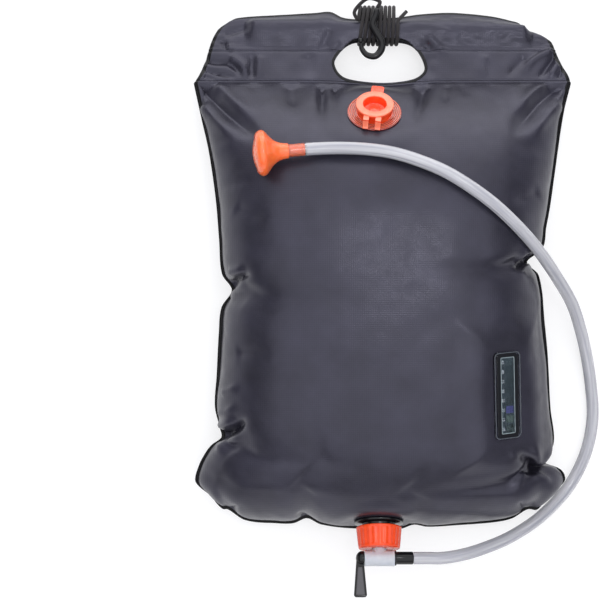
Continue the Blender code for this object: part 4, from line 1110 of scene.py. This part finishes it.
ground = addNode(tree, "ValToRGB", {"Fac": speck.outputs["Fac"]}, stops=((0, "#333d40"), (1, "#46535a")))
blend = {"Fac": cell.outputs["Value"], "Color1": ground.outputs["Color"], "Color2": shades.outputs["Color"]}
tree.links.new(addNode(tree, "MixRGB", blend).outputs["Color"], shader.inputs["Base Color"])

# Black frame that is printed round the window
frameInk = mottled("frameInk", (500, 3), ("#07080d", "#101219"), Roughness=0.35, Specular_IOR_Level=0.3)

# Moulded lip round the window, of clear vinyl: a pale line beside the black, painted as a glint along the lip
windowGlint = mottled("windowGlint", (260, 3), ("#56646a", "#a3b1b5"), Roughness=0.25)

# White ink of the card's numbers
whiteInk = mottled("whiteInk", (900, 3), ("#c8ccd0", "#f0f2f4"), Roughness=0.5)

# Braided black polyester cord: crossing strands from two slanted waves along its own map, matt with a little
# fuzz
cordBraid, tree, shader = startMaterial("cordBraid", Roughness=0.72, Sheen_Weight=0.08, Sheen_Roughness=0.4)
along = addNode(tree, "UVMap", uv_map="alongCord").outputs["UV"]
strands = []
for slant in (1, -1):
    turned = addNode(tree, "Mapping", {"Vector": along, "Scale": (6.0, 520.0 * slant, 1)})
    values = {"Vector": turned.outputs["Vector"], "Scale": 1.0, "Distortion": 0.3}
    strands.append(addNode(tree, "TexWave", values, bands_direction="DIAGONAL").outputs["Fac"])
weave = addNode(tree, "Math", {0: strands[0], 1: strands[1]}, operation="MAXIMUM")
tint = addNode(tree, "ValToRGB", {"Fac": weave.outputs["Value"]}, stops=((0, "#0c0a0b"), (1, "#231e21")))
tree.links.new(tint.outputs["Color"], shader.inputs["Base Color"])
bump = addNode(tree, "Bump", {"Height": weave.outputs["Value"], "Strength": 0.8, "Distance": 0.0004})
tree.links.new(bump.outputs["Normal"], shader.inputs["Normal"])

# White rod plastic and black washer rubber, both mostly hidden
rodPlastic = mottled("rodPlastic", (300, 3), ("#cfcfca", "#e2e2de"), Roughness=0.45)
washerRubber = mottled("washerRubber", (700, 3), ("#101011", "#1f1f21"), Roughness=0.8)
print("materials made")


# Film cut and thickened
hole = {
    "middle": -0.0028, "above": 0.0035, "width": 0.097, "height": 0.0465, "weld": 0.0030, "weldHalf": 0.0003,
    "shares": (
        (-0.50, 0.38), (-0.385, 0.07), (-0.06, 0.0), (0.32, 0.02), (0.47, 0.16), (0.50, 0.40), (0.40, 0.80),
        (0.243, 0.99), (-0.115, 1.0), (-0.30, 0.96), (-0.45, 0.66),
    ),
}
holeSpots = [
    (hole["middle"] + hole["width"] * x, hole["above"] + hole["height"] * y, 0) for x, y in hole["shares"]
]
holeLine = smoothCurve(holeSpots, closed=True, steps=8)
cuts = {"port": 0.015, "spout": 0.013, "deep": 0.012, "high": 0.03}


def dipPiece(piece):  # it sags with the film
    for vertex in piece.data.vertices:
        vertex.co = dipped(vertex.co.copy())
    return piece


def holeCutter():
    high = cuts["high"]
    return dipPiece(addPlate("holeCutter", [(p.x, p.y) for p in holeLine], -high, high, headerPlace))


for sheet in (frontSheet, backSheet):
    wall = sheet.modifiers.new("wall", "SOLIDIFY")
    wall.thickness, wall.offset = bag["wall"], 1.0
    applyAll(sheet)
fillCutter = addDrum("fillCutter", cuts["port"], -cuts["deep"], cuts["deep"], 96, portPlace)
drainCutter = addDrum("drainCutter", cuts["spout"], -cuts["deep"], cuts["deep"], 80, outletPlace)
combine(frontSheet, joinPieces(holeCutter(), fillCutter, drainCutter), "DIFFERENCE")
combine(backSheet, holeCutter(), "DIFFERENCE")
for sheet, node in ((frontSheet, "front_panel"), (backSheet, "back_panel")):
    finishPiece(sheet, blackFilm, "root", node, smooth=75, second=(weldFilmPaintedShade,))


def addBead(name, line, wide, low, high, place=None):  # a flat rounded bead along a closed line, outside it
    count, steps = len(line), 10
    area = sum(p.x * q.y - q.x * p.y for p, q in zip(line, line[1:] + line[:1]))
    turn = 1 if area > 0 else -1
    bpy.ops.object.select_all(action="DESELECT")
    bpy.ops.mesh.primitive_torus_add(major_segments=count, minor_segments=steps)
    bead = bpy.context.object
    bead.name = name
    for index, vertex in enumerate(bead.data.vertices):
        spot, step = divmod(index, steps)
        way = (line[(spot + 1) % count] - line[spot - 1]).normalized()
        out = Vector((way.y, -way.x, 0)) * turn
        angle = math.tau * step / steps
        across, rise = (math.copysign(abs(v) ** 0.6, v) for v in (math.cos(angle), math.sin(angle)))
        height = (low + high) / 2 + (high - low) / 2 * rise
        vertex.co = line[spot] + out * (wide * (0.5 + 0.5 * across)) + Vector((0, 0, height))
    activate(bead)
    bpy.ops.object.mode_set(mode="EDIT")
    faceOutwards()
    return settle(bead, place)


for side, name in ((1, "holeWeldFront"), (-1, "holeWeldBack")):  # the pressed weld round the handle hole, in the weld's painted-shade black
    skin, half = side * (bag["seamGap"] + bag["wall"]), hole["weldHalf"]
    bead = addBead(name, holeLine, hole["weld"], skin - half, skin + half, headerPlace)
    finishPiece(dipPiece(bead), weldFilmPaintedShade, "root", smooth=60)
print("film cut and thickened")


# Fill port
port = {
    "base": 0.0013, "deck": 0.0025, "radius": 0.0285, "neck": 0.018, "bore": 0.015, "neckHigh": 0.0105,
    "ridges": (0.0268, 0.0248, 0.0226, 0.0206), "ridgeHalf": 0.0005, "ridgeHigh": 0.0007, "discTop": 0.0034,
    "sides": 128,
}
bore, radius, neck = port["bore"], port["radius"], port["neck"]
base, deck, high = port["base"], port["deck"], port["neckHigh"]
profile = [
    (bore, base), (radius - 0.0004, base), (radius, base + 0.0004), (radius, deck - 0.0003),
    (radius - 0.0004, deck),
]
for ridge in port["ridges"]:
    half, top = port["ridgeHalf"], deck + port["ridgeHigh"]
    profile += [
        (ridge + half, deck), (ridge + 0.6 * half, top - 0.0001), (ridge + 0.2 * half, top),
        (ridge - 0.2 * half, top), (ridge - 0.6 * half, top - 0.0001), (ridge - half, deck),
    ]
profile += [
    (neck + 0.0012, deck), (neck + 0.0003, deck + 0.0004), (neck, deck + 0.0012), (neck, high - 0.0004),
    (neck - 0.0004, high), (bore + 0.0004, high), (bore, high - 0.0004),
]
flange = addTurned("fillFlange", profile, port["sides"])
strap = {"across": 0.00635, "width": 0.0059, "thick": 0.003, "hinge": -0.0255, "foot": 0.0019, "high": 0.0105}
strapEdge = {"width": 0.0004, "steps": 2}
# Its outline's X runs outwards, its Y up and its thickness across
sideways = Matrix(((0, 0, 1, 0), (1, 0, 0, 0), (0, 1, 0, 0), (0, 0, 0, 1)))
hinge, inner = strap["hinge"], strap["hinge"] + strap["thick"]
outline = [
    (inner, strap["foot"]), (inner, strap["high"]), (hinge + 0.0006, strap["high"]),
    (hinge + 0.0001, strap["high"] - 0.0005), (hinge - 0.0003, 0.0080), (hinge - 0.0009, 0.0058),
    (hinge - 0.0017, 0.0041), (hinge - 0.0026, 0.0030), (hinge - 0.0026, strap["foot"]),
]
for sign in (-1, 1):
    middle, half = sign * strap["across"], strap["width"] / 2
    upright = addPlate("strapUpright", outline, middle - half, middle + half, sideways)
    combine(flange, roundEdges(upright, **strapEdge))
for face in flange.data.polygons:  # 1 on the thin disc, in painted shade; 2, the painted highlight, on the straps' outer sides and the ridges' tops
    low = face.center.z < port["discTop"]
    onStrap = not low and abs(abs(face.center.x) - strap["across"]) < strap["width"] / 2
    outerSide = onStrap and face.center.y < hinge + 0.0012 and face.normal.y < -0.3
    onDisc = low and face.center.to_2d().length > neck + 0.0016
    onRidge = onDisc and face.center.z > deck + 0.0004  # the ridges' tops get the painted highlight
    face.material_index = 2 if onRidge or outerSide else 1 if onDisc else 0
finishPiece(
    flange, orangeVinyl, "root", "fill_flange", place=portPlace,
    second=(flangeVinylPaintedShade, paintedHighlightVinyl),
)

cap = {
    "low": 0.0108, "rim": 0.0032, "radius": 0.020, "plug": 0.0139, "cup": 0.0121, "foot": 0.0023,
    "taper": 0.0016, "wall": 0.0018, "tabWidth": 0.0135, "tabReach": 0.0108, "tabThick": 0.0018,
    "tabCorner": 0.0024, "barCorner": 0.0012,
}
low, foot, radius, cup = cap["low"], cap["foot"], cap["radius"], cap["cup"]
top, inside, end = low + cap["rim"], foot + cap["wall"], cap["plug"] - cap["taper"]
profile = [
    (0, foot), (end - 0.0008, foot), (end, foot + 0.0008), (cap["plug"], low), (radius - 0.0006, low),
    (radius - 0.0001, low + 0.0003), (radius, low + 0.0008), (radius, top - 0.0011),
    (radius - 0.0002, top - 0.0005), (radius - 0.0006, top - 0.0001), (radius - 0.0012, top),
    (cup + 0.0011, top), (cup + 0.0004, top - 0.0002), (cup, top - 0.0009), (cup - 0.0005, top - 0.0030),
    (cup - cap["taper"] + 0.0007, inside + 0.0007), (cup - cap["taper"] - 0.0004, inside),
    (0.0052, inside), (0.0047, inside + 0.0005), (0, inside + 0.0006),
]
capPiece = addTurned("fillCap", profile, port["sides"])
reach = -hinge - radius + cap["wall"]
for sign in (-1, 1):
    middle = (sign * strap["across"], hinge + reach / 2)
    outline = roundedBox(strap["width"], reach, cap["barCorner"], middle, 4)
    bar = addPlate("strapEnd", outline, low, low + cap["tabThick"])
    combine(capPiece, roundEdges(bar, **strapEdge))
tabLow = low + (cap["rim"] - cap["tabThick"]) / 2
middle = (0, radius - cap["wall"] + cap["tabReach"] / 2)
outline = roundedBox(cap["tabWidth"], cap["tabReach"], cap["tabCorner"], middle)
tab = addPlate("pullTab", outline, tabLow, tabLow + cap["tabThick"])
combine(capPiece, roundEdges(tab, 0.0005, 3))
for face in capPiece.data.polygons:  # painted highlight on the rim's top, its rounded edge and the straps' ends
    away = face.center.to_2d().length
    onRim = face.center.z > top - 0.0012 and cup - 0.0004 < away < radius + 0.0002
    onStrap = away > radius and face.center.y < 0 and face.normal.z > 0.3
    face.material_index = 1 if onRim or onStrap else 0
finishPiece(capPiece, capVinyl, "cap", "fill_cap", place=portPlace, second=(paintedHighlightVinyl,))
print("fill port made")


# Thermometer: a card in a clear pocket
card = {
    "width": 0.0197, "length": 0.0788, "thick": 0.0006, "base": 0.00145, "corner": 0.0008, "room": 0.0006,
    "numbers": (45, 40, 35, 30, 25, 20, 15, 10), "window": 0.0160, "frame": 0.0050, "figure": 0.0042,
    "figureX": -0.0056, "inkThick": 0.00002, "inkGap": 0.00003,
}
pocketFilm = {"thick": 0.0016, "base": 0.0013, "corner": 0.006, "weldInset": 0.0030}
cardTop, topOf = card["base"] + card["thick"], pocketFilm["base"] + pocketFilm["thick"]
outline = roundedBox(fittings["pocketWidth"], fittings["pocketLength"], pocketFilm["corner"], steps=8)
cover = roundEdges(addPlate("clearPocket", outline, pocketFilm["base"], topOf), 0.0005, 3)
outline = roundedBox(card["width"] + card["room"], card["length"] + card["room"], card["corner"])
combine(cover, addPlate("cardRecess", outline, 0.0, cardTop + 0.0004), "DIFFERENCE")
finishPiece(cover, pocketVinyl, "root", "thermometer_pocket", smooth=40, place=pocketPlace)
outline = roundedBox(card["width"], card["length"], card["corner"])
cardPiece = addPlate("crystalCard", outline, card["base"], cardTop)
plan = cardPiece.data.uv_layers.new(name="cardPlan")
for loop in cardPiece.data.loops:
    at = cardPiece.data.vertices[loop.vertex_index].co
    plan.data[loop.index].uv = (at.x / card["width"] + 0.5, at.y / card["length"] + 0.5)
finishPiece(cardPiece, cardInk, "root", "thermometer_card", smooth=40, place=pocketPlace)
figures = []
for place, figure in enumerate(card["numbers"]):  # they read along the card
    bpy.ops.object.text_add()
    text = bpy.context.object
    text.data.body = str(figure)
    text.data.size = card["figure"]
    text.data.align_x, text.data.align_y = "CENTER", "CENTER"
    text.data.extrude = card["inkThick"]
    bpy.ops.object.convert(target="MESH")
    text = bpy.context.object
    height = card["length"] / 2 - card["length"] * (place + 0.5) / len(card["numbers"])
    spot = Matrix.Translation((card["figureX"], height, cardTop + card["inkGap"]))
    text.data.transform(spot @ Matrix.Rotation(-math.pi / 2, 4, "Z"))
    figures.append(text)


def cornerLine(width, length, corner):
    return [Vector((x, y, 0)) for x, y in roundedBox(width, length, corner, steps=8)]


windowLine = cornerLine(card["window"], card["length"] - 0.0006, 0.0008)
lipLine = cornerLine(card["window"] - 0.0006, card["length"] - 0.0012, 0.0006)
inset = pocketFilm["weldInset"]
weldLine = cornerLine(
    fittings["pocketWidth"] - inset, fittings["pocketLength"] - inset, pocketFilm["corner"] - inset / 2
)
for name, line, wide, down, up, finish, slot in (  # down and up: from the pocket's top
    ("cardFrame", windowLine, card["frame"], 0.0002, 0.00012, frameInk, "crystal_card"),
    # windowEdge and pocketWeld carry painted highlights: a glint along the window's lip and a pale line along
    # the pocket's weld
    ("windowEdge", lipLine, 0.0008, 0.0001, 0.0003, windowGlint, "clear_vinyl"),
    ("pocketWeld", weldLine, 0.0008, 0.0001, 0.0003, pocketEdgePaintedHighlight, "clear_vinyl"),
):
    bead = addBead(name, line, wide, topOf - down, topOf + up, pocketPlace)
    finishPiece(bead, finish, "root", smooth=60)
numbers = joinPieces(*figures)
numbers.name = "cardNumbers"
finishPiece(numbers, whiteInk, "root", smooth=30, place=pocketPlace)
print("thermometer made")


# Outlet: spout, washer, collar, tap body, plug and lever, along the spout's own axis
outlet = {
    "base": 0.0013, "flange": 0.0262, "flangeThick": 0.0025, "spout": 0.0175, "bore": 0.013, "end": 0.0213,
    "sides": 112,
}
bore, wide, neck = outlet["bore"], outlet["flange"], outlet["spout"]
base, deck, end = outlet["base"], outlet["base"] + outlet["flangeThick"], outlet["end"]
profile = [
    (bore, base), (wide - 0.0005, base), (wide, base + 0.0006), (wide, deck - 0.0009),
    (wide - 0.0003, deck - 0.0003), (wide - 0.0010, deck), (neck + 0.0009, deck),
    (neck + 0.0002, deck + 0.0003), (neck, deck + 0.0010), (neck, end - 0.0006), (neck - 0.0006, end),
    (bore + 0.0004, end), (bore, end - 0.0004),
]
spout = addTurned("outletSpout", profile, outlet["sides"])
finishPiece(spout, blackPlastic, "root", "outlet_spout", place=outletPlace)

collar = {
    "start": 0.0075, "floor": 0.0267, "end": 0.0303, "radius": 0.0243, "endRadius": 0.022, "bore": 0.0179,
    "mouth": 0.0078, "flutes": 24, "depth": 0.0007, "sides": 192, "fluteLow": 0.0024, "fluteHigh": 0.0208,
    "rows": (0.0026, 0.0031, 0.0036, 0.0045, 0.0080, 0.0120, 0.0160, 0.0186, 0.0195, 0.0200, 0.0205),
}
low, high = collar["start"], collar["end"]


def collarRadius(height):
    return collar["radius"] + (collar["endRadius"] - collar["radius"]) * (height - low) / (high - low)


bore, mouth, end = collar["bore"], collar["mouth"], collar["endRadius"]
profile = [
    (bore, low + 0.0003), (bore + 0.0003, low), (collar["radius"] - 0.0010, low),
    (collarRadius(low) - 0.0003, low + 0.0003), (collarRadius(low), low + 0.0011),
]
profile += [(collarRadius(low + height), low + height) for height in collar["rows"]]
profile += [
    (end, high - 0.0011), (end - 0.0003, high - 0.0003), (end - 0.0011, high), (mouth + 0.0003, high),
    (mouth, high - 0.0003), (mouth, collar["floor"]), (bore, collar["floor"]),
]
collarPiece = addTurned("outletCollar", profile, collar["sides"])
for vertex in collarPiece.data.vertices:
    radius, height = math.hypot(vertex.co.x, vertex.co.y), vertex.co.z - low
    if radius > 0.0205 and 0.0025 < height < 0.0206:  # the fluted part of its outside
        angle = math.atan2(vertex.co.y, vertex.co.x)
        ends = min(1.0, (height - collar["fluteLow"]) / 0.0010, (collar["fluteHigh"] - height) / 0.0010)
        sunk = collar["depth"] * max(ends, 0.0) * (0.5 - 0.5 * math.cos(collar["flutes"] * angle)) ** 0.8
        vertex.co.x *= 1 - sunk / radius
        vertex.co.y *= 1 - sunk / radius
finishPiece(
    collarPiece, orangePlastic, "collar", "outlet_collar", smooth=50, place=outletPlace
)

tap = {
    "start": 0.0239, "flange": 0.0165, "flangeThick": 0.0025, "neck": 0.0074, "bore": 0.0042, "axis": 0.0401,
    "barrel": 0.00875, "half": 0.01585, "plug": 0.0062, "room": 0.0003, "bearing": 0.0005, "sides": 72,
}
start, wide, neck, axis = tap["start"], tap["flange"], tap["neck"], tap["axis"]
deck = start + tap["flangeThick"]
profile = [
    (0, start), (wide, start), (wide, deck), (neck + 0.0003, deck), (neck, deck + 0.0004),
    (neck, collar["end"] + 0.0010), (neck + 0.0002, axis - 0.0075), (neck + 0.0002, axis), (0, axis),
]
tapPiece = addTurned("tapBody", profile, tap["sides"])
alongX = Matrix.Translation((0, 0, axis)) @ Matrix.Rotation(math.pi / 2, 4, "Y")
half, barrel = tap["half"], tap["barrel"]
# The barrel's lips: how far in from its outside, and from its end
lip = ((0.0006, 0.0), (0.0001, 0.0003), (0.0, 0.0008), (0.0, 0.0018), (0.0003, 0.0022))
profile = [
    (0, -half), *((barrel - inward, up - half) for inward, up in lip),
    *((barrel - inward, half - up) for inward, up in reversed(lip)), (0, half),
]
combine(tapPiece, addTurned("barrel", profile, tap["sides"], alongX))
past = shop["overrun"]
bore = addDrum("barrelBore", tap["plug"] + tap["bearing"], -half - past, half + past, tap["sides"], alongX)
combine(tapPiece, bore, "DIFFERENCE")
bore = addDrum("neckBore", tap["bore"], start - past, axis, tap["sides"])
combine(tapPiece, bore, "DIFFERENCE")
finishPiece(tapPiece, milkyPlastic, "tap", "tap_body", place=outletPlace)

plug = {
    "ring": 0.0078, "ringWidth": 0.0016, "shoulder": 0.0067, "shoulderLength": 0.0178, "barb": 0.0036,
    "ridge": 0.0004, "barbLength": 0.017, "pitch": 0.005, "bore": 0.0024, "cross": 0.0038, "tang": 0.006,
    "tangLength": 0.0068,
}
ring = half + tap["room"]
face = ring + plug["ringWidth"] + plug["shoulderLength"]
step, shoulder = ring + plug["ringWidth"], plug["shoulder"]
profile = [
    (0, -half), (tap["plug"], -half), (tap["plug"], ring), (plug["ring"] - 0.0003, ring),
    (plug["ring"], ring + 0.0003), (plug["ring"], step - 0.0004), (plug["ring"] - 0.0004, step),
    (shoulder + 0.0004, step), (shoulder, step + 0.0004), (shoulder, face - 0.0010),
    (shoulder - 0.0003, face - 0.0003), (shoulder - 0.0010, face),
]
for tooth in range(int(plug["barbLength"] / plug["pitch"])):
    foot = face + tooth * plug["pitch"]
    profile += [(plug["barb"], foot + 0.00001), (plug["barb"] + plug["ridge"], foot + plug["pitch"] / 5)]
profile += [(plug["barb"] - plug["ridge"], face + plug["barbLength"]), (0, face + plug["barbLength"])]
plugPiece = addTurned("tapPlug", profile, tap["sides"], alongX)
size = plug["tang"]
outline = roundedBox(size, size, size / 8, steps=3)
combine(plugPiece, addPlate("tang", outline, -half - plug["tangLength"], past - half, alongX))
combine(plugPiece, addDrum("axialBore", plug["bore"], -0.0021, face + 0.03, 40, alongX), "DIFFERENCE")
combine(plugPiece, addDrum("crossBore", plug["cross"], axis - 0.0105, axis, 40), "DIFFERENCE")
finishPiece(plugPiece, blackPlastic, "plug", "tap_plug", place=outletPlace)

lever = {
    "hub": 0.0074, "hubWidth": 0.0087, "length": 0.041, "root": 0.0075, "end": 0.0137, "thick": 0.0042,
    "rim": 0.0022, "recess": 0.0011, "corner": 0.0028, "dome": 0.0064,
}
inner = -half - shop["gap"]
outer = inner - lever["hubWidth"]
profile = []
for step in range(13):  # a domed outer end
    angle = math.pi / 2 * step / 12
    profile.append((lever["hub"] * math.sin(angle), outer + lever["dome"] * (1 - math.cos(angle))))
profile += [(lever["hub"], inner - 0.0005), (lever["hub"] - 0.0005, inner), (0, inner)]
leverPiece = addTurned("tapLever", profile, tap["sides"], alongX)
middle = (outer + inner) / 2
# Its outline's Y runs outwards and its thickness down
tall = Matrix(((1, 0, 0, 0), (0, 0, -1, 0), (0, 1, 0, axis), (0, 0, 0, 1)))


def paddleOutline(inset, start):
    root, end, corner = lever["root"] / 2 - inset, lever["end"] / 2 - inset, lever["corner"] - inset * 0.8
    stop = lever["length"] - inset
    side = root + (end - root) * start / lever["length"] if start else root
    points = [(middle - side, start)]
    for sign in (-1, 1):
        for step in range(7):
            turn = (math.pi if sign < 0 else math.pi / 2) - math.pi / 2 * step / 6
            x = middle + sign * (end - corner) + corner * math.cos(turn)
            points.append((x, stop - corner + corner * math.sin(turn)))
    points.append((middle + side, start))
    return points[::-1]


thick = lever["thick"]
paddle = roundEdges(addPlate("paddle", paddleOutline(0.0, 0.0), -thick / 2, thick / 2, tall), 0.0011, 4)
combine(leverPiece, paddle)
outline = paddleOutline(lever["rim"], lever["hub"] + lever["rim"])
recess = addPlate("leverRecess", outline, -thick, -thick / 2 + lever["recess"], tall)
combine(leverPiece, recess, "DIFFERENCE")
for panel in leverPiece.data.polygons:  # the sunk face is matt with a painted grey sheen, and the rim round it glossy
    level = abs(panel.center.y - thick / 2 + lever["recess"]) < 0.0001
    panel.material_index = 1 if level and panel.center.z > axis + 0.008 else 0
room = plug["tang"] + 2 * shop["gap"]
outline = roundedBox(room, room, room / 8, steps=3)
socket = addPlate("leverSocket", outline, inner - plug["tangLength"] - shop["gap"], inner + past, alongX)
combine(leverPiece, socket, "DIFFERENCE")
finishPiece(
    leverPiece, blackPlastic, "plug", "tap_lever", place=outletPlace, second=(leverPaintedSheen,)
)
for name, finish in (("sealing_washer", washerRubber), ("handle_rod", rodPlastic)):
    frame["nodes"][name].data.materials.clear()
    frame["nodes"][name].data.materials.append(finish)
print("outlet made")


# Shower head with its rose, on the hose's far end
head = {
    "bulb": 0.0235, "length": 0.0332, "neck": 0.0076, "wall": 0.002, "rose": 0.0178, "roseThick": 0.0018,
    "crown": 0.0040, "hole": 0.0008, "barb": 0.0052, "spacing": 0.0045, "rings": 4, "sides": 96,
    "bore": 0.0024,
    "shares": (
        (0.0, 0.70), (0.04, 0.83), (0.11, 0.95), (0.20, 1.0), (0.29, 0.93), (0.38, 0.72), (0.49, 0.44),
        (0.63, 0.20), (0.80, 0.06), (1.0, 0.0),
    ),
}
out = (hosePoints[-1] - hosePoints[-2]).normalized()
right = Vector((0, 0, 1)).cross(out).normalized()
headPlace = Matrix((right, out.cross(right), out)).transposed().to_4x4()
headPlace.translation = hosePoints[-1] + out * shop["gap"]


def headLine(inset):
    points = []
    for step in range(61):
        share = 1 - step / 60
        wide = readTable(head["shares"], share)
        radius = head["neck"] + (head["bulb"] - head["neck"]) * wide - inset
        points.append((radius, head["length"] * (1 - share)))
    return points


barb, ridge, pitch, end = head["barb"], plug["ridge"], plug["pitch"], -plug["barbLength"]
tail = [(barb - ridge, end)]
for tooth in range(int(plug["barbLength"] / pitch)):  # the hose grips the barbs, so they fill its bore
    top = end + (tooth + 1) * pitch
    tail += [(barb + ridge / 2, top - pitch / 5), (barb - ridge / 2, top)]
tail.append((barb, 0))
mouth = head["rose"] + shop["gap"]
seat = head["length"] - head["roseThick"] - shop["gap"]
hollow = headLine(head["wall"])[20:-6]
profile = tail + headLine(0.0) + [(mouth, head["length"]), (mouth, seat), (mouth - head["wall"], seat)]
profile += hollow[::-1] + [(head["bore"], hollow[0][1]), (head["bore"], end)]
headPiece = addTurned("showerHead", profile, head["sides"])
finishPiece(headPiece, headPlastic, "root", "shower_head", place=headPlace)
low = head["length"] - head["roseThick"]
rim = head["length"] - head["roseThick"] / 3
profile = [(0, low), (head["rose"] - 0.0002, low), (head["rose"], low + 0.0002), (head["rose"], rim - 0.0002)]
profile += [
    (head["rose"] * (1 - step / 10), rim + head["crown"] * (1 - (1 - step / 10) ** 2)) for step in range(11)
]
rosePiece = addTurned("showerRose", profile, head["sides"])
jets = []
for ringNumber in range(head["rings"]):
    count, reach = max(1, 6 * ringNumber), ringNumber * head["spacing"]
    for number in range(count):
        angle = math.tau * number / count
        shift = Matrix.Translation((reach * math.cos(angle), reach * math.sin(angle), 0))
        jets.append(addDrum("jet", head["hole"], low - past, rim + 0.006, 16, shift))
combine(rosePiece, joinPieces(*jets), "DIFFERENCE")
finishPiece(rosePiece, headPlastic, "root", "shower_rose", smooth=30, place=headPlace)

# Hook: a smooth J with an eye end and a ball tip
line = hookPoints(9)
tip, ahead = line[-1], (line[-1] - line[-2]).normalized()
radii = []
for number in range(len(line)):
    taper = max(0.0, (number / (len(line) - 1) - hook["taperFrom"]) / (1 - hook["taperFrom"]))
    radii.append(hook["radius"] + (hook["tipRadius"] - hook["radius"]) * taper)
for step in range(1, 12):
    angle = math.pi * step / 12
    line.append(tip + ahead * hook["ball"] * (1 - math.cos(angle)))
    radii.append(max(hook["ball"] * math.sin(angle), 0.0004))
marks = lengthsAlong(line)
eyeRound = ((0.0, 0.55), (0.015, 0.82), (0.035, 0.96), (0.06, 1.0))


def hookRadius(share):
    index = min(range(len(marks)), key=lambda i: abs(marks[i] / marks[-1] - share))
    return radii[index] * (readTable(eyeRound, share) if share < 0.06 else 1.0)


hookPiece = addTube("cordHook", [headerPlace @ point for point in line], hookRadius, hook["sides"])
finishPiece(hookPiece, blackPlastic, "root", "hook", smooth=60)

# Cords: their materials, and the cord's body
finishPiece(cordPiece, cordBraid, "root", "hanging_cord", smooth=180)
activate(hosePiece)
hosePiece.data.materials.append(hoseVinyl)
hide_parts("hose")
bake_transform(hosePiece)


# Floor, lamps and world: a plain pale sweep under one large soft overhead lamp
stage = {"floor": 4.4, "paper": "#a2a2a4", "glow": 0.67}
bpy.ops.object.select_all(action="DESELECT")
bpy.ops.mesh.primitive_plane_add(size=stage["floor"])
floor = bpy.context.object
floor.name = "floor"
paper, tree, shader = startMaterial("floorPaper", Roughness=0.9, Specular_IOR_Level=0.1)
shader.inputs["Base Color"].default_value = fromHex(stage["paper"])
path = addNode(tree, "LightPath").outputs
seen = addNode(tree, "Math", {0: path["Is Camera Ray"], 1: path["Is Glossy Ray"]}, operation="MAXIMUM")
seen = addNode(tree, "Math", {0: seen.outputs["Value"], 1: path["Is Transmission Ray"]}, operation="MAXIMUM")
glow = addNode(tree, "Math", {0: seen.outputs["Value"], 1: stage["glow"]}, operation="MULTIPLY")
shader.inputs["Emission Color"].default_value = (1, 1, 1, 1)
tree.links.new(glow.outputs["Value"], shader.inputs["Emission Strength"])
floor.data.materials.append(paper)

lamps = (  # after the large one: soft boxes past both ends, and a small one overhead for the glints
    {"name": "overheadLamp", "place": (0, 0, 2.05), "turn": 0, "size": (5.0, 5.0), "power": 92.0},
    {"name": "backLamp", "place": (0, 1.9, 0.80), "turn": -90, "size": (2.6, 1.5), "power": 30.0},
    {"name": "frontLamp", "place": (0, -1.9, 0.55), "turn": 90, "size": (2.6, 0.9), "power": 6.0},
    {"name": "keyLamp", "place": (0.22, 0.32, 1.95), "turn": -8, "size": (0.42, 0.26), "power": 3.6},
)
for each in lamps:
    softBox = bpy.data.lights.new(each["name"], "AREA")
    softBox.shape = "RECTANGLE"
    softBox.size, softBox.size_y = each["size"]
    softBox.energy = each["power"]
    lamp = bpy.data.objects.new(each["name"], softBox)
    scene.collection.objects.link(lamp)
    lamp.location = each["place"]
    lamp.rotation_euler = (math.radians(each["turn"]), 0, 0)
bpy.data.lights["overheadLamp"].color = (0.97, 0.975, 1.0)  # daylight, a little cool
world = bpy.data.worlds.new("studio")
scene.world = world
world.use_nodes = True
tree = world.node_tree
around = addNode(tree, "TexCoord").outputs["Generated"]
height = addNode(tree, "SeparateXYZ", {"Vector": around})
sky = addNode(tree, "ValToRGB", {"Fac": height.outputs["Z"]})
sky.color_ramp.elements[0].position, sky.color_ramp.elements[1].position = 0.06, 0.9
sky.color_ramp.elements[0].color = (0.80, 0.80, 0.81, 1)
sky.color_ramp.elements[1].color = (0.45, 0.46, 0.48, 1)
for place, level in ((0.16, 0.55), (0.26, 0.13), (0.6, 0.16)):
    middle = sky.color_ramp.elements.new(place)
    middle.color = (level, level, level * 1.06, 1)
tree.links.new(sky.outputs["Color"], tree.nodes["Background"].inputs["Color"])
print("stage lit")
